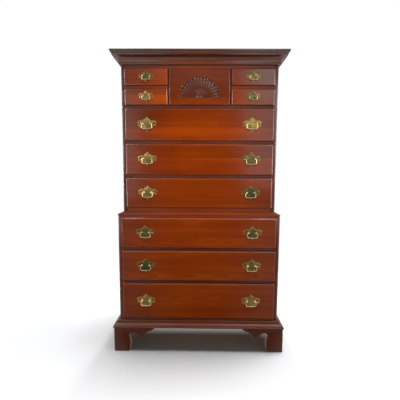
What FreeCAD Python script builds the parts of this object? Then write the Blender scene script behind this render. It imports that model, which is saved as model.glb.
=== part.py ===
import FreeCAD
import Part
import math
import os
from FreeCAD import Vector

# A tall chest of drawers in two cases on bracket feet, with a carved fan drawer and brass bail pulls.
# Millimetres. X runs across the front, the front looks along -Y, Z is up from the floor.

# The two cases
lower_width = 967.0
lower_depth = 495.0
case_setback = 26.3  # the upper case stands in this far at the front and at both sides
side_thickness = 25.0
rail_depth = 60.0
divider_thickness = 16.0
shelf_thickness = 18.0
dust_board_thickness = 12.0
top_board_thickness = 19.0
back_thickness = 6.5
back_rebate = 12.0
runner_width = 32.0
runner_height = 22.0

# Front layout, in heights of the drawer faces and of what shows between them
foot_height = 148.0
lower_sill = 52.5
lower_face_3 = 218.5
lower_face_2 = 183.0
lower_face_1 = 181.5
lower_face_gap = 19.5
lower_head = 13.5
upper_sill = 45.0
upper_face_3 = 178.0
upper_face_2 = 181.0
upper_face_1 = 186.0
upper_face_gap = 19.5
small_face_low = 91.0
small_face_top = 96.0
fan_face_width = 355.0
fan_top_drop = 4.5  # the fan face ends this far below the small faces beside it
frieze_height = 19.0

# Mouldings
cornice_height = 70.5
cornice_reach = 50.0
waist_height = 19.5
waist_nose = 1.7  # how far the waist moulding overhangs the lower case
base_height = 38.0
base_reach = 37.0

# Bracket feet
foot_inset = 6.0  # from the tip of the base moulding to the face of the foot
foot_width = 91.0
front_wing = 155.0
side_wing = 115.0
rear_wing = 62.0
bracket_thickness = 20.0
block_size = 50.0
block_lift = 2.0

# Drawers
lip = 4.5  # overlap of each drawer face on the case around its opening
lip_gap = 0.3
front_proud = 9.0
front_inset = 12.0
field_step = 1.2
thumb_radius = 5.8
thumb_limit_share = 0.9  # most of the lip's depth that its rounding may take
front_clearance = 1.0
slide_gap = 0.3
box_headroom = 14.0
box_side = 12.0
box_back = 12.0
box_bottom = 6.0
bottom_rise = 9.0
groove_depth = 5.0
groove_gap = 0.2
box_back_gap = 14.0

# Fan carving on the middle drawer
fan_radius = 121.0
fan_base_rise = 39.5
fan_hub_radius = 24.0
flute_count = 19
flute_width_share = 0.94
flute_round_share = 1.25

# Keyholes of the six wide drawers
keyhole_radius = 2.6
keyhole_slot_width = 2.6
keyhole_length = 11.0
keyhole_depth = 8.0
keyhole_drop = 30.0

# Bail pulls of the wide drawers, and the size of the small ones beside them
upper_pull_inset = 128.7  # from the end of the drawer face
lower_pull_inset = 143.5
pull_rise = 3.5
plate_width = 113.0
plate_height = 86.0
plate_thickness = 1.8
eye_radius = 6.2
post_spacing = 45.0
post_reach = 12.0
flange_radius = 6.0
flange_thickness = 1.6
stem_radius = 3.0
head_radius = 4.0
shank_radius = 2.0
shank_tail = 8.0
hole_clearance = 0.25
nut_radius = 4.6
nut_thickness = 3.5
nut_clearance = 0.05
bail_radius = 2.2
bail_drop = 29.0
bail_turn = 2.8
bail_corner = 9.0
bail_shoulder = 0.4
bail_clearance = 0.05
pin_share = 0.9  # of the head's radius, past its middle
small_pull_share = 0.75

# Extra length given to every cutting shape
overrun = 5.0

# Outlines as shares of the sizes they follow. One point draws a line to it, two points draw an arc.
# Moulding sections: out from the case, up from the bottom.
cornice_shares = (
    ((0.0, 0.0),),
    ((0.12, 0.0),),
    ((0.215, 0.08), (0.15, 0.165)),
    ((0.31, 0.455), (0.76, 0.59)),
    ((0.815, 0.59),),
    ((0.815, 0.69),),
    ((1.0, 0.85),),
    ((1.0, 0.956),),
    ((0.982, 0.987), (0.94, 1.0)),
    ((0.0, 1.0),),
)
waist_shares = (
    ((0.0, 0.0),),
    ((0.89, 0.0),),
    ((1.0, 0.23), (0.89, 0.46)),
    ((0.82, 0.46),),
    ((0.82, 0.54),),
    ((0.443, 0.65), (0.14, 1.0)),
    ((0.0, 1.0),),
)
base_shares = (
    ((0.0, 0.0),),
    ((0.92, 0.0),),
    ((1.0, 0.138), (0.92, 0.276)),
    ((0.81, 0.276),),
    ((0.81, 0.316),),
    ((0.595, 0.566), (0.30, 0.71)),
    ((0.243, 0.71),),
    ((0.243, 0.763),),
    ((0.20, 0.90), (0.07, 1.0)),
    ((0.0, 1.0),),
)
# Bracket outline: share of the foot's width, share of the wing's length, share of the height.
bracket_shares = (
    ((0.0, 0.0, 0.0),),
    ((1.0, 0.0, 0.0),),
    ((1.115, 0.0, 0.30), (1.005, 0.0, 0.66)),
    ((1.0, 0.11, 0.80), (1.0, 0.265, 0.763)),
    ((1.0, 0.355, 0.66), (1.0, 0.458, 0.605)),
    ((1.0, 0.548, 0.608),),
    ((1.0, 0.639, 0.74), (1.0, 0.78, 0.855)),
    ((1.0, 0.91, 0.895), (1.0, 1.0, 0.966)),
    ((1.0, 1.0, 1.0),),
    ((0.0, 0.0, 1.0),),
)
rear_bracket_shares = (
    ((0.0, 0.0, 0.0),),
    ((0.8, 0.0, 0.0),),
    ((0.9, 0.15, 0.36), (1.0, 1.0, 0.66)),
    ((1.0, 1.0, 1.0),),
    ((0.0, 0.0, 1.0),),
)
# Right half of a pull's plate: share of half its width, share of its height from the posts' axis.
plate_shares = (
    ((0.0, 0.49),),
    ((0.10, 0.40), (0.21, 0.35)),
    ((0.33, 0.29), (0.32, 0.20)),
    ((0.48, 0.25), (0.67, 0.235)),
    ((0.89, 0.19), (1.0, 0.07)),
    ((0.92, 0.02), (0.89, -0.035)),
    ((0.935, -0.095), (0.885, -0.15)),
    ((0.74, -0.165), (0.60, -0.235)),
    ((0.50, -0.325), (0.30, -0.36)),
    ((0.12, -0.40), (0.0, -0.51)),
)
eye_place_shares = (0.76, 0.03)

# Places worked out from the driving dimensions
upper_width = lower_width - 2 * case_setback
lower_half = lower_width / 2
upper_half = upper_width / 2
lower_front = (base_reach - lower_depth) / 2
upper_front = lower_front + case_setback
case_back = lower_front + lower_depth
panel_front = case_back - back_thickness
lower_inside = lower_half - side_thickness
upper_inside = upper_half - side_thickness

lower_3_bottom = foot_height + lower_sill
lower_2_bottom = lower_3_bottom + lower_face_3 + lower_face_gap
lower_1_bottom = lower_2_bottom + lower_face_2 + lower_face_gap
lower_top = lower_1_bottom + lower_face_1 + lower_head
upper_3_bottom = lower_top + upper_sill
upper_2_bottom = upper_3_bottom + upper_face_3 + upper_face_gap
upper_1_bottom = upper_2_bottom + upper_face_2 + upper_face_gap
row_bottom = upper_1_bottom + upper_face_1 + upper_face_gap
small_top_bottom = row_bottom + small_face_low + upper_face_gap
row_top = small_top_bottom + small_face_top
cornice_bottom = row_top + frieze_height
total_height = cornice_bottom + cornice_height
side_top = total_height - top_board_thickness

fan_half = fan_face_width / 2
divider_inner = fan_half - lip
divider_outer = divider_inner + divider_thickness

# Drawer faces overlap their openings by the lip, and the fan face stops short at its top
small_left = (-upper_inside - lip, -divider_outer + lip)
small_right = (divider_outer - lip, upper_inside + lip)
upper_span = (-upper_inside - lip, upper_inside + lip)
lower_span = (-lower_inside - lip, lower_inside + lip)
upper_pulls = (upper_span[0] + upper_pull_inset, upper_span[1] - upper_pull_inset)
lower_pulls = (lower_span[0] + lower_pull_inset, lower_span[1] - lower_pull_inset)


def drawer_face(name, span, bottom, height, case_front, pulls, drop=0):
    return {
        "name": name,
        "left": span[0],
        "right": span[1],
        "bottom": bottom,
        "top": bottom + height - drop,
        "ceiling": bottom + height - lip,
        "case_front": case_front,
        "pulls": pulls,
    }


def small_pair(side, span):
    pulls = (sum(span) / len(span),)
    return [
        drawer_face("small_drawer_top_" + side, span, small_top_bottom, small_face_top, upper_front, pulls),
        drawer_face("small_drawer_low_" + side, span, row_bottom, small_face_low, upper_front, pulls),
    ]


row_height = row_top - row_bottom
small_faces = small_pair("left", small_left) + small_pair("right", small_right)
fan_span = (-fan_half, fan_half)
fan_face = drawer_face("fan_drawer", fan_span, row_bottom, row_height, upper_front, (), fan_top_drop)
upper_faces = [
    drawer_face("upper_drawer_1", upper_span, upper_1_bottom, upper_face_1, upper_front, upper_pulls),
    drawer_face("upper_drawer_2", upper_span, upper_2_bottom, upper_face_2, upper_front, upper_pulls),
    drawer_face("upper_drawer_3", upper_span, upper_3_bottom, upper_face_3, upper_front, upper_pulls),
]
lower_faces = [
    drawer_face("lower_drawer_1", lower_span, lower_1_bottom, lower_face_1, lower_front, lower_pulls),
    drawer_face("lower_drawer_2", lower_span, lower_2_bottom, lower_face_2, lower_front, lower_pulls),
    drawer_face("lower_drawer_3", lower_span, lower_3_bottom, lower_face_3, lower_front, lower_pulls),
]
wide_faces = upper_faces + lower_faces
all_faces = small_faces + [fan_face] + wide_faces


def box(x0, x1, y0, y1, z0, z1):
    return Part.makeBox(x1 - x0, y1 - y0, z1 - z0, Vector(x0, y0, z0))


def mirrored(shape):
    return shape.mirror(Vector(0, 0, 0), Vector(1, 0, 0))


def both_sides(shape):
    return [shape, mirrored(shape)]


def trace(table, place):
    edges = []
    here = place(*table[0][0])
    for step in table[1:]:
        points = [place(*shares) for shares in step]
        if len(points) == 1:
            edges.append(Part.LineSegment(here, points[0]).toShape())
        else:
            edges.append(Part.Arc(here, points[0], points[1]).toShape())
        here = points[-1]
    return edges


def closed_face(table, place):
    edges = trace(table, place)
    first = place(*table[0][0])
    last = place(*table[-1][-1])
    if first.distanceToPoint(last) > 0:
        edges.append(Part.LineSegment(last, first).toShape())
    return Part.Face(Part.Wire(edges))


def plan_prism(points, z0, z1):
    corners = [Vector(x, y, z0) for x, y in points]
    return Part.Face(Part.makePolygon(corners + corners[:1])).extrude(Vector(0, 0, z1 - z0))


# Three mitred lengths of one section, round the front and both sides of a case
def moulding(table, half, front, bottom, reach, height):
    far = reach + overrun
    tip = front - far
    edge = half + far

    def front_place(out, up):
        return Vector(-edge, front - out * reach, bottom + up * height)

    def side_place(out, up):
        return Vector(half + out * reach, tip, bottom + up * height)

    top = bottom + height
    front_cut = plan_prism([(-half, front), (half, front), (edge, tip), (-edge, tip)], bottom, top)
    side_cut = plan_prism([(half, front), (half, case_back), (edge, case_back), (edge, tip)], bottom, top)
    front_length = closed_face(table, front_place).extrude(Vector(2 * edge, 0, 0)).common(front_cut)
    side_length = closed_face(table, side_place).extrude(Vector(0, case_back - tip, 0)).common(side_cut)
    return [front_length] + both_sides(side_length)


# One board of a bracket foot, from its outer corner along the case
def bracket(table, corner, along, inward, foot, wing, mitred):
    def place(foot_share, wing_share, height_share):
        run = foot_share * foot + wing_share * wing
        return corner + along * run + Vector(0, 0, height_share * foot_height)

    board = closed_face(table, place).extrude(inward * bracket_thickness)
    if not mitred:
        return board
    far = foot + wing + overrun
    plan = [
        corner,
        corner + along * far,
        corner + along * far + inward * bracket_thickness,
        corner + along * bracket_thickness + inward * bracket_thickness,
    ]
    return board.common(plan_prism([(p.x, p.y) for p in plan], 0, foot_height))


def bracket_feet():
    out = lower_half + base_reach - foot_inset
    face = lower_front - base_reach + foot_inset
    right, left, back, fore = Vector(1, 0, 0), Vector(-1, 0, 0), Vector(0, 1, 0), Vector(0, -1, 0)
    front_corner = Vector(-out, face, 0)
    rear_corner = Vector(-out, case_back, 0)
    rear_start = Vector(-out + bracket_thickness, case_back, 0)
    boards = [
        bracket(bracket_shares, front_corner, right, back, foot_width, front_wing, True),
        bracket(bracket_shares, front_corner, back, right, foot_width, side_wing, True),
        bracket(bracket_shares, rear_corner, fore, right, foot_width, side_wing, False),
        bracket(rear_bracket_shares, rear_start, right, fore, foot_width, rear_wing, False),
    ]
    return boards + [mirrored(board) for board in boards]


def foot_blocks():
    outer = -lower_half - base_reach + foot_inset + bracket_thickness
    front = lower_front - base_reach + foot_inset + bracket_thickness
    rear = case_back - bracket_thickness
    blocks = []
    for y0 in (front, rear - block_size):
        blocks += both_sides(box(outer, outer + block_size, y0, y0 + block_size, block_lift, foot_height))
    return blocks


# A case side with its rebate for the back panel
def case_side(half, front, bottom, top):
    inside = half - side_thickness
    side = box(inside, half, front, case_back, bottom, top)
    edge = inside + back_rebate
    rebate = box(inside - overrun, edge, panel_front, case_back + overrun, bottom - overrun, top + overrun)
    return side.cut(rebate)


def back_panel(half, bottom, top):
    edge = half - side_thickness + back_rebate
    return box(-edge, edge, panel_front, case_back, bottom, top)


def case_boards():
    lower_rear = lower_front + rail_depth
    upper_rear = upper_front + rail_depth
    floor_top = foot_height + dust_board_thickness
    ceiling_bottom = lower_top - dust_board_thickness
    shelf_top = row_bottom + lip
    shelf_bottom = shelf_top - shelf_thickness
    return [
        box(-lower_inside, lower_inside, lower_rear, panel_front, foot_height, floor_top),
        box(-lower_inside, lower_inside, lower_rear, panel_front, ceiling_bottom, lower_top),
        box(-upper_inside, upper_inside, upper_rear, panel_front, shelf_bottom, shelf_top),
        box(-upper_half, upper_half, upper_front, case_back, side_top, total_height),
    ]


# Rails run between the sides, from the top of one drawer opening to the bottom of the next
def rails_between(faces, inside, front, bottom, top):
    levels = sorted((face["bottom"] + lip, face["top"] - lip) for face in faces)
    lows = [bottom] + [ceiling for floor, ceiling in levels]
    highs = [floor for floor, ceiling in levels] + [top]
    return [box(-inside, inside, front, front + rail_depth, low, high) for low, high in zip(lows, highs)]


def top_rail():
    return box(-upper_inside, upper_inside, upper_front, upper_front + rail_depth, row_top - lip, side_top)


def drawer_rails():
    rails = rails_between(lower_faces, lower_inside, lower_front, foot_height, lower_top)
    rails += rails_between(upper_faces, upper_inside, upper_front, lower_top, row_bottom + lip)
    short_bottom = row_bottom + small_face_low - lip
    short_top = small_top_bottom + lip
    short = box(divider_outer, upper_inside, upper_front, upper_front + rail_depth, short_bottom, short_top)
    return rails + both_sides(short) + [top_rail()]


def drawer_dividers():
    divider = box(divider_inner, divider_outer, upper_front, panel_front, row_bottom + lip, side_top)
    return both_sides(divider.cut(top_rail()))


def strip(x0, x1, front, z0, z1):
    return both_sides(box(x0, x1, front + rail_depth, panel_front, z0, z1))


def drawer_runners():
    strips = []
    for face in upper_faces:
        floor = face["bottom"] + lip
        strips += strip(upper_inside - runner_width, upper_inside, upper_front, floor - runner_height, floor)
    for face in lower_faces:
        floor = face["bottom"] + lip
        strips += strip(lower_inside - runner_width, lower_inside, lower_front, floor - runner_height, floor)
    kicker_bottom = lower_top - lower_head - lip
    kicker_top = lower_top - dust_board_thickness
    strips += strip(lower_inside - runner_width, lower_inside, lower_front, kicker_bottom, kicker_top)
    small_floor = small_top_bottom + lip
    row_ceiling = row_top - lip
    row_kicker_top = row_ceiling + runner_height
    for low, high in ((small_floor - runner_height, small_floor), (row_ceiling, row_kicker_top)):
        strips += strip(upper_inside - runner_width, upper_inside, upper_front, low, high)
        strips += strip(divider_outer, divider_outer + runner_width, upper_front, low, high)
    strips += strip(divider_inner - runner_width, divider_inner, upper_front, row_ceiling, row_kicker_top)
    return strips


# Inside faces of a drawer's box, shared by its front, sides, back and bottom
def box_frame(face):
    block_back = face["case_front"] + front_inset
    return {
        "left": face["left"] + lip + front_clearance,
        "right": face["right"] - lip - front_clearance,
        "bottom": face["bottom"] + lip + slide_gap,
        "top": face["ceiling"] - box_headroom,
        "front": block_back,
        "rear": panel_front - box_back_gap,
        "panel_low": face["bottom"] + lip + slide_gap + bottom_rise,
        "panel_high": face["bottom"] + lip + slide_gap + bottom_rise + box_bottom,
    }


def bottom_panel(frame, gap):
    left = frame["left"] + box_side - groove_depth - gap
    right = frame["right"] - box_side + groove_depth + gap
    front = frame["front"] - groove_depth - gap
    return box(left, right, front, frame["rear"] + gap, frame["panel_low"] - gap, frame["panel_high"] + gap)


# A drawer front: the lip with its moulded thumbnail edge, the raised field, and the block in the opening
def drawer_front(face):
    plane = face["case_front"]
    left, right, bottom, top = face["left"], face["right"], face["bottom"], face["top"]
    thumb_front = plane - front_proud + field_step
    lip_back = plane - lip_gap
    lip_board = box(left, right, thumb_front, lip_back, bottom, top)
    thumb = min(thumb_radius, (lip_back - thumb_front) * thumb_limit_share)
    front_edges = [edge for edge in lip_board.Edges if edge.BoundBox.YMax < thumb_front + lip_gap]
    lip_board = lip_board.makeFillet(thumb, front_edges)
    field = box(left + thumb, right - thumb, plane - front_proud, lip_back, bottom + thumb, top - thumb)
    frame = box_frame(face)
    block_top = min(face["ceiling"], top) - front_clearance
    block = box(frame["left"], frame["right"], lip_back, frame["front"], frame["bottom"], block_top)
    front = lip_board.fuse([field, block]).removeSplitter()
    cuts = [bottom_panel(frame, groove_gap)]
    for x in face["pulls"]:
        cuts += shank_holes(face, x)
    if face in wide_faces:
        cuts += keyhole(face)
    if face is fan_face:
        cuts += fan_flutes(face)
    return front.cut(cuts)


def keyhole(face):
    plane = face["case_front"] - front_proud
    z = face["top"] - keyhole_drop
    start = Vector(0, plane - overrun, z)
    eye = Part.makeCylinder(keyhole_radius, keyhole_depth + overrun, start, Vector(0, 1, 0))
    half = keyhole_slot_width / 2
    slot = box(-half, half, plane - overrun, plane + keyhole_depth, z - keyhole_length, z)
    return [eye.fuse(slot)]


# Tapered gouge cuts that spread from the hub, each with a round outer end
def fan_flutes(face):
    centre = Vector(0, face["case_front"] - front_proud, face["bottom"] + fan_base_rise)
    half_pitch = math.pi / (2 * flute_count)
    width_slope = math.tan(half_pitch) * flute_width_share
    round_slope = width_slope * flute_round_share
    lift_slope = math.sqrt(round_slope ** 2 - width_slope ** 2)
    end = fan_radius / (1 + width_slope)
    flutes = []
    for number in range(flute_count):
        angle = half_pitch * (2 * number + 1)
        ray = Vector(math.cos(angle), -lift_slope, math.sin(angle))
        start = centre + ray * fan_hub_radius
        length = (end - fan_hub_radius) * ray.Length
        cone = Part.makeCone(round_slope * fan_hub_radius, round_slope * end, length, start, ray)
        ball = Part.makeSphere(round_slope * end, centre + ray * end)
        flutes.append(cone.fuse(ball))
    return flutes


# Two sides and a back joined round a grooved-in bottom, as separate boards
def drawer_box(face):
    frame = box_frame(face)
    front, rear, top = frame["front"], frame["rear"], frame["top"]
    inner_left = frame["left"] + box_side
    inner_right = frame["right"] - box_side
    groove = bottom_panel(frame, groove_gap)
    left_side = box(frame["left"], inner_left, front, rear, frame["bottom"], top)
    right_side = box(inner_right, frame["right"], front, rear, frame["bottom"], top)
    back_low = frame["panel_high"] + groove_gap
    back = box(inner_left, inner_right, rear - box_back, rear, back_low, top)
    return [left_side.cut(groove), right_side.cut(groove), back, bottom_panel(frame, 0)]


def pull_share(face):
    return small_pull_share if face in small_faces else 1


def pull_axis(face, x):
    return Vector(x, face["case_front"] - front_proud, (face["bottom"] + face["top"]) / 2 + pull_rise)


def post_places(face, x):
    axis = pull_axis(face, x)
    half = Vector(post_spacing * pull_share(face) / 2, 0, 0)
    return [axis - half, axis + half]


def shank_holes(face, x):
    depth = front_proud + front_inset + 2 * overrun
    radius = shank_radius + hole_clearance
    back = Vector(0, overrun, 0)
    return [Part.makeCylinder(radius, depth, place - back, Vector(0, 1, 0)) for place in post_places(face, x)]


# A pierced and shaped plate behind one bail
def pull_plate(face, x):
    share = pull_share(face)
    axis = pull_axis(face, x)
    half_width = plate_width * share / 2
    height = plate_height * share
    fore = Vector(0, -plate_thickness, 0)

    def right_place(across, up):
        return axis + Vector(across * half_width, 0, up * height)

    def left_place(across, up):
        return axis + Vector(-across * half_width, 0, up * height)

    edges = trace(plate_shares, right_place) + trace(plate_shares, left_place)[::-1]
    plate = Part.Face(Part.Wire(Part.__sortEdges__(edges))).extrude(fore)
    reach = plate_thickness + 2 * overrun
    back = Vector(0, overrun, 0)
    eyes = [place(*eye_place_shares) for place in (left_place, right_place)]
    cuts = [Part.makeCylinder(eye_radius * share, reach, eye + back, Vector(0, -1, 0)) for eye in eyes]
    radius = shank_radius + hole_clearance
    for place in post_places(face, x):
        cuts.append(Part.makeCylinder(radius, reach, place + back, Vector(0, -1, 0)))
    return plate.cut(cuts)


# A turned post: flange on the plate, stem, round head bored for the bail, shank through the drawer front
def pull_post(face, place):
    share = pull_share(face)
    fore, back = Vector(0, -1, 0), Vector(0, 1, 0)
    seat = place + fore * plate_thickness
    head_place = place + fore * (post_reach * share)
    flange = Part.makeCylinder(flange_radius * share, flange_thickness, seat, fore)
    stem = Part.makeCylinder(stem_radius * share, post_reach * share - plate_thickness, seat, fore)
    head = Part.makeSphere(head_radius * share, head_place)
    shank_length = plate_thickness + front_proud + front_inset + shank_tail
    shank = Part.makeCylinder(shank_radius, shank_length, seat, back)
    post = flange.fuse([stem, head, shank]).removeSplitter()
    reach = head_radius * share + overrun
    bore_start = head_place - Vector(reach, 0, 0)
    bore = Part.makeCylinder(bail_radius * share + bail_clearance, 2 * reach, bore_start, Vector(1, 0, 0))
    return post.cut(bore)


def pull_nut(place):
    start = place + Vector(0, front_proud + front_inset, 0)
    nut = Part.makeCylinder(nut_radius, nut_thickness, start, Vector(0, 1, 0))
    bore_radius = shank_radius + nut_clearance
    bore_start = start - Vector(0, overrun, 0)
    bore = Part.makeCylinder(bore_radius, nut_thickness + 2 * overrun, bore_start, Vector(0, 1, 0))
    return nut.cut(bore)


def pull_mounts(face):
    solids = []
    for x in face["pulls"]:
        solids.append(pull_plate(face, x))
        for place in post_places(face, x):
            solids += [pull_post(face, place), pull_nut(place)]
    return solids


# A round rod bent to a flat-bottomed loop, with a pin at each end in the head of a post
def bail(face, x):
    share = pull_share(face)
    axis = pull_axis(face, x) - Vector(0, post_reach * share, 0)
    post = post_spacing * share / 2
    head = head_radius * share
    turn = bail_turn * share
    corner = bail_corner * share
    drop = bail_drop * share
    pin = post - head * pin_share
    shoulder = post + head + bail_shoulder
    arm = shoulder + turn
    bend = math.cos(math.pi / 4)

    def place(across, up):
        return axis + Vector(across, 0, up)

    def side(sign):
        return [
            place(sign * pin, 0),
            place(sign * shoulder, 0),
            place(sign * (shoulder + turn * bend), -turn * (1 - bend)),
            place(sign * arm, -turn),
            place(sign * arm, corner - drop),
            place(sign * (arm - corner * (1 - bend)), corner * (1 - bend) - drop),
            place(sign * (arm - corner), -drop),
        ]

    a = side(-1)
    b = side(1)
    path = [
        Part.LineSegment(a[0], a[1]),
        Part.Arc(a[1], a[2], a[3]),
        Part.LineSegment(a[3], a[4]),
        Part.Arc(a[4], a[5], a[6]),
        Part.LineSegment(a[6], b[6]),
        Part.Arc(b[6], b[5], b[4]),
        Part.LineSegment(b[4], b[3]),
        Part.Arc(b[3], b[2], b[1]),
        Part.LineSegment(b[1], b[0]),
    ]
    spine = Part.Wire([piece.toShape() for piece in path])
    section = Part.Wire([Part.makeCircle(bail_radius * share, a[0], Vector(1, 0, 0))])
    return spine.makePipeShell([section], True, False)


def save(node, solids):
    shape = solids[0] if len(solids) == 1 else Part.makeCompound(solids)
    shape.exportStep("parts/" + node + ".step")


def build_case():
    cornice = moulding(cornice_shares, upper_half, upper_front, cornice_bottom, cornice_reach, cornice_height)
    waist_reach = case_setback + waist_nose
    waist = moulding(waist_shares, upper_half, upper_front, lower_top, waist_reach, waist_height)
    base = moulding(base_shares, lower_half, lower_front, foot_height, base_reach, base_height)
    backs = [back_panel(lower_half, foot_height, lower_top), back_panel(upper_half, lower_top, side_top)]
    save("cornice_moulding", cornice)
    save("waist_moulding", waist)
    save("base_moulding", base)
    save("bracket_feet", bracket_feet())
    save("foot_blocks", foot_blocks())
    save("lower_case_sides", both_sides(case_side(lower_half, lower_front, foot_height, lower_top)))
    save("upper_case_sides", both_sides(case_side(upper_half, upper_front, lower_top, side_top)))
    save("case_backs", backs)
    save("case_boards", case_boards())
    save("drawer_rails", drawer_rails())
    save("drawer_dividers", drawer_dividers())
    save("drawer_runners", drawer_runners())


def build_drawers():
    for face in all_faces:
        save(face["name"] + "_front", [drawer_front(face)])
        save(face["name"] + "_box", drawer_box(face))
        if face["pulls"]:
            save(face["name"] + "_pull_mounts", pull_mounts(face))
        for x in face["pulls"]:
            side = "" if len(face["pulls"]) == 1 else ("_left" if x < 0 else "_right")
            save(face["name"] + "_bail" + side, [bail(face, x)])


os.makedirs("parts", exist_ok=True)
build_case()
build_drawers()
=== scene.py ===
import math
import random

import bmesh
import bpy
from mathutils import Matrix, Vector


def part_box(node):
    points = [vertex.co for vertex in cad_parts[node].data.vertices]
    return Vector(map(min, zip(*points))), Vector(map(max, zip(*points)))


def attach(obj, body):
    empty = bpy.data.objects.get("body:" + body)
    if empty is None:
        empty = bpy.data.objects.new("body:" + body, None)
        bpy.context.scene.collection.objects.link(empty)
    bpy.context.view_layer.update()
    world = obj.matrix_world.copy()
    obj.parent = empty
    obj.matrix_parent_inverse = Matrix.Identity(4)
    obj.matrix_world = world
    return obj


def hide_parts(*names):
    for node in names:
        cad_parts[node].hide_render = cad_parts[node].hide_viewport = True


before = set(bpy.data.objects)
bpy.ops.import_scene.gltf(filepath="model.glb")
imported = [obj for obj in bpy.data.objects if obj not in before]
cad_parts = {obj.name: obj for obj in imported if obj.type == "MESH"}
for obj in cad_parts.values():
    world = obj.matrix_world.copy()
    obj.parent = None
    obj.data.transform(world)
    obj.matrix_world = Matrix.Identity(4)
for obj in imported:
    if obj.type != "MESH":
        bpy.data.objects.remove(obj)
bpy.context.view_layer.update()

mm = 0.001
scene = bpy.context.scene
dice = random.Random(1406)  # every random draw of the chest comes from here
bothSides = ((-1, "left"), (1, "right"))
for leftover in ("Cube", "Light", "Camera"):
    if leftover in bpy.data.objects:
        bpy.data.objects.remove(bpy.data.objects[leftover])


# Small tools for node trees

def paint(red, green, blue):
    def linear(value):
        share = value / 255
        return share / 12.92 if share <= 0.04045 else ((share + 0.055) / 1.055) ** 2.4
    return (linear(red), linear(green), linear(blue), 1.0)


def feed(tree, value, socket):
    if isinstance(value, bpy.types.NodeSocket):
        tree.links.new(value, socket)
    else:
        socket.default_value = value


def addNode(tree, kind, feeds=None, **settings):
    node = tree.nodes.new("ShaderNode" + kind)
    for key, value in settings.items():
        setattr(node, key, value)
    for key, value in (feeds or {}).items():
        feed(tree, value, node.inputs[key])
    return node


def calc(tree, operation, *values, clamp=False):
    feeds = dict(enumerate(values))
    return addNode(tree, "Math", feeds, operation=operation, use_clamp=clamp).outputs[0]


def times(tree, first, second, clamp=False):
    return calc(tree, "MULTIPLY", first, second, clamp=clamp)


def mulAdd(tree, value, factor, added, clamp=False):
    return calc(tree, "MULTIPLY_ADD", value, factor, added, clamp=clamp)


# A base moved by how far a value is from a half
def swing(tree, value, amount, base):
    return mulAdd(tree, calc(tree, "SUBTRACT", value, 0.5), amount, base)


def split(tree, value):
    return addNode(tree, "SeparateXYZ", {0: value}).outputs


def blendColour(tree, factor, first, second):
    return addNode(tree, "Mix", {0: factor, 6: first, 7: second}, data_type="RGBA").outputs[2]


def noise(tree, place, scale, detail=2.0, rough=0.5):
    stretched = addNode(tree, "VectorMath", {0: place, 1: scale}, operation="MULTIPLY").outputs[0]
    feeds = {"Vector": stretched, "Scale": 1.0, "Detail": detail, "Roughness": rough}
    return addNode(tree, "TexNoise", feeds).outputs[0]


def ramp(tree, value, span, ends=(0.0, 1.0)):
    feeds = {"Value": value, "From Min": span[0], "From Max": span[1], "To Min": ends[0], "To Max": ends[1]}
    return addNode(tree, "MapRange", feeds, clamp=True).outputs[0]


def surfaceNormal(tree):
    return addNode(tree, "NewGeometry").outputs["Normal"]


# 1 where the surface turns away within the radius
def edgeMask(tree, radius, span):
    soft = addNode(tree, "Bevel", {"Radius": radius}, samples=6).outputs[0]
    likeness = addNode(tree, "VectorMath", {0: surfaceNormal(tree), 1: soft}, operation="DOT_PRODUCT")
    return ramp(tree, likeness.outputs["Value"], span)


# 1 deep in a corner, where the surroundings block the light; it marks where shade is painted
def cornerMask(tree, reach):
    openness = addNode(tree, "AmbientOcclusion", {"Distance": reach}, samples=8).outputs["AO"]
    return calc(tree, "SUBTRACT", 1.0, openness)


# Sockets are named by kind, in their order
def newGroup(name, takes, gives):
    tree = bpy.data.node_groups.new(name, "ShaderNodeTree")
    for way, sockets in (("INPUT", takes), ("OUTPUT", gives)):
        for kind, labels in sockets.items():
            for label in labels.split():
                tree.interface.new_socket(name=label, in_out=way, socket_type="NodeSocket" + kind)
    return tree, tree.nodes.new("NodeGroupInput").outputs, tree.nodes.new("NodeGroupOutput").inputs


def placeGroup(tree, group, feeds):
    node = tree.nodes.new("ShaderNodeGroup")
    node.node_tree = group
    for key, value in feeds.items():
        feed(tree, value, node.inputs[key])
    return node.outputs


# Grain of a sawn board. Grain is along, across and into it in metres, Board is its seed, tone and glue line.
grainLook = {
    "ringsPerMetre": 150.0, "ringSharp": 2.5, "ringDark": 0.55,
    "heartSpread": 0.17, "heartDepth": 0.035, "heartRange": 0.05, "heartDrift": 0.16,
    "wander": 2.4, "wanderScale": (1.9, 11.0, 11.0),
    "streakScale": (0.9, 24.0, 24.0),
    "fibreScale": (11.0, 820.0, 820.0), "fibreShade": 0.16, "fibreRise": 0.6,
    "blotchScale": (3.2, 8.0, 8.0), "blotchShade": 0.55,
    "poreScale": (70.0, 1700.0, 1700.0), "poreSpan": (0.60, 0.72), "poreDark": 0.5,
    "fleckScale": (26.0, 210.0, 210.0), "fleckSpan": (0.71, 0.76),
    "plainShade": 0.58, "boardShade": 0.30, "seedStep": 7.31, "seedSkew": 0.37,
}


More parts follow.
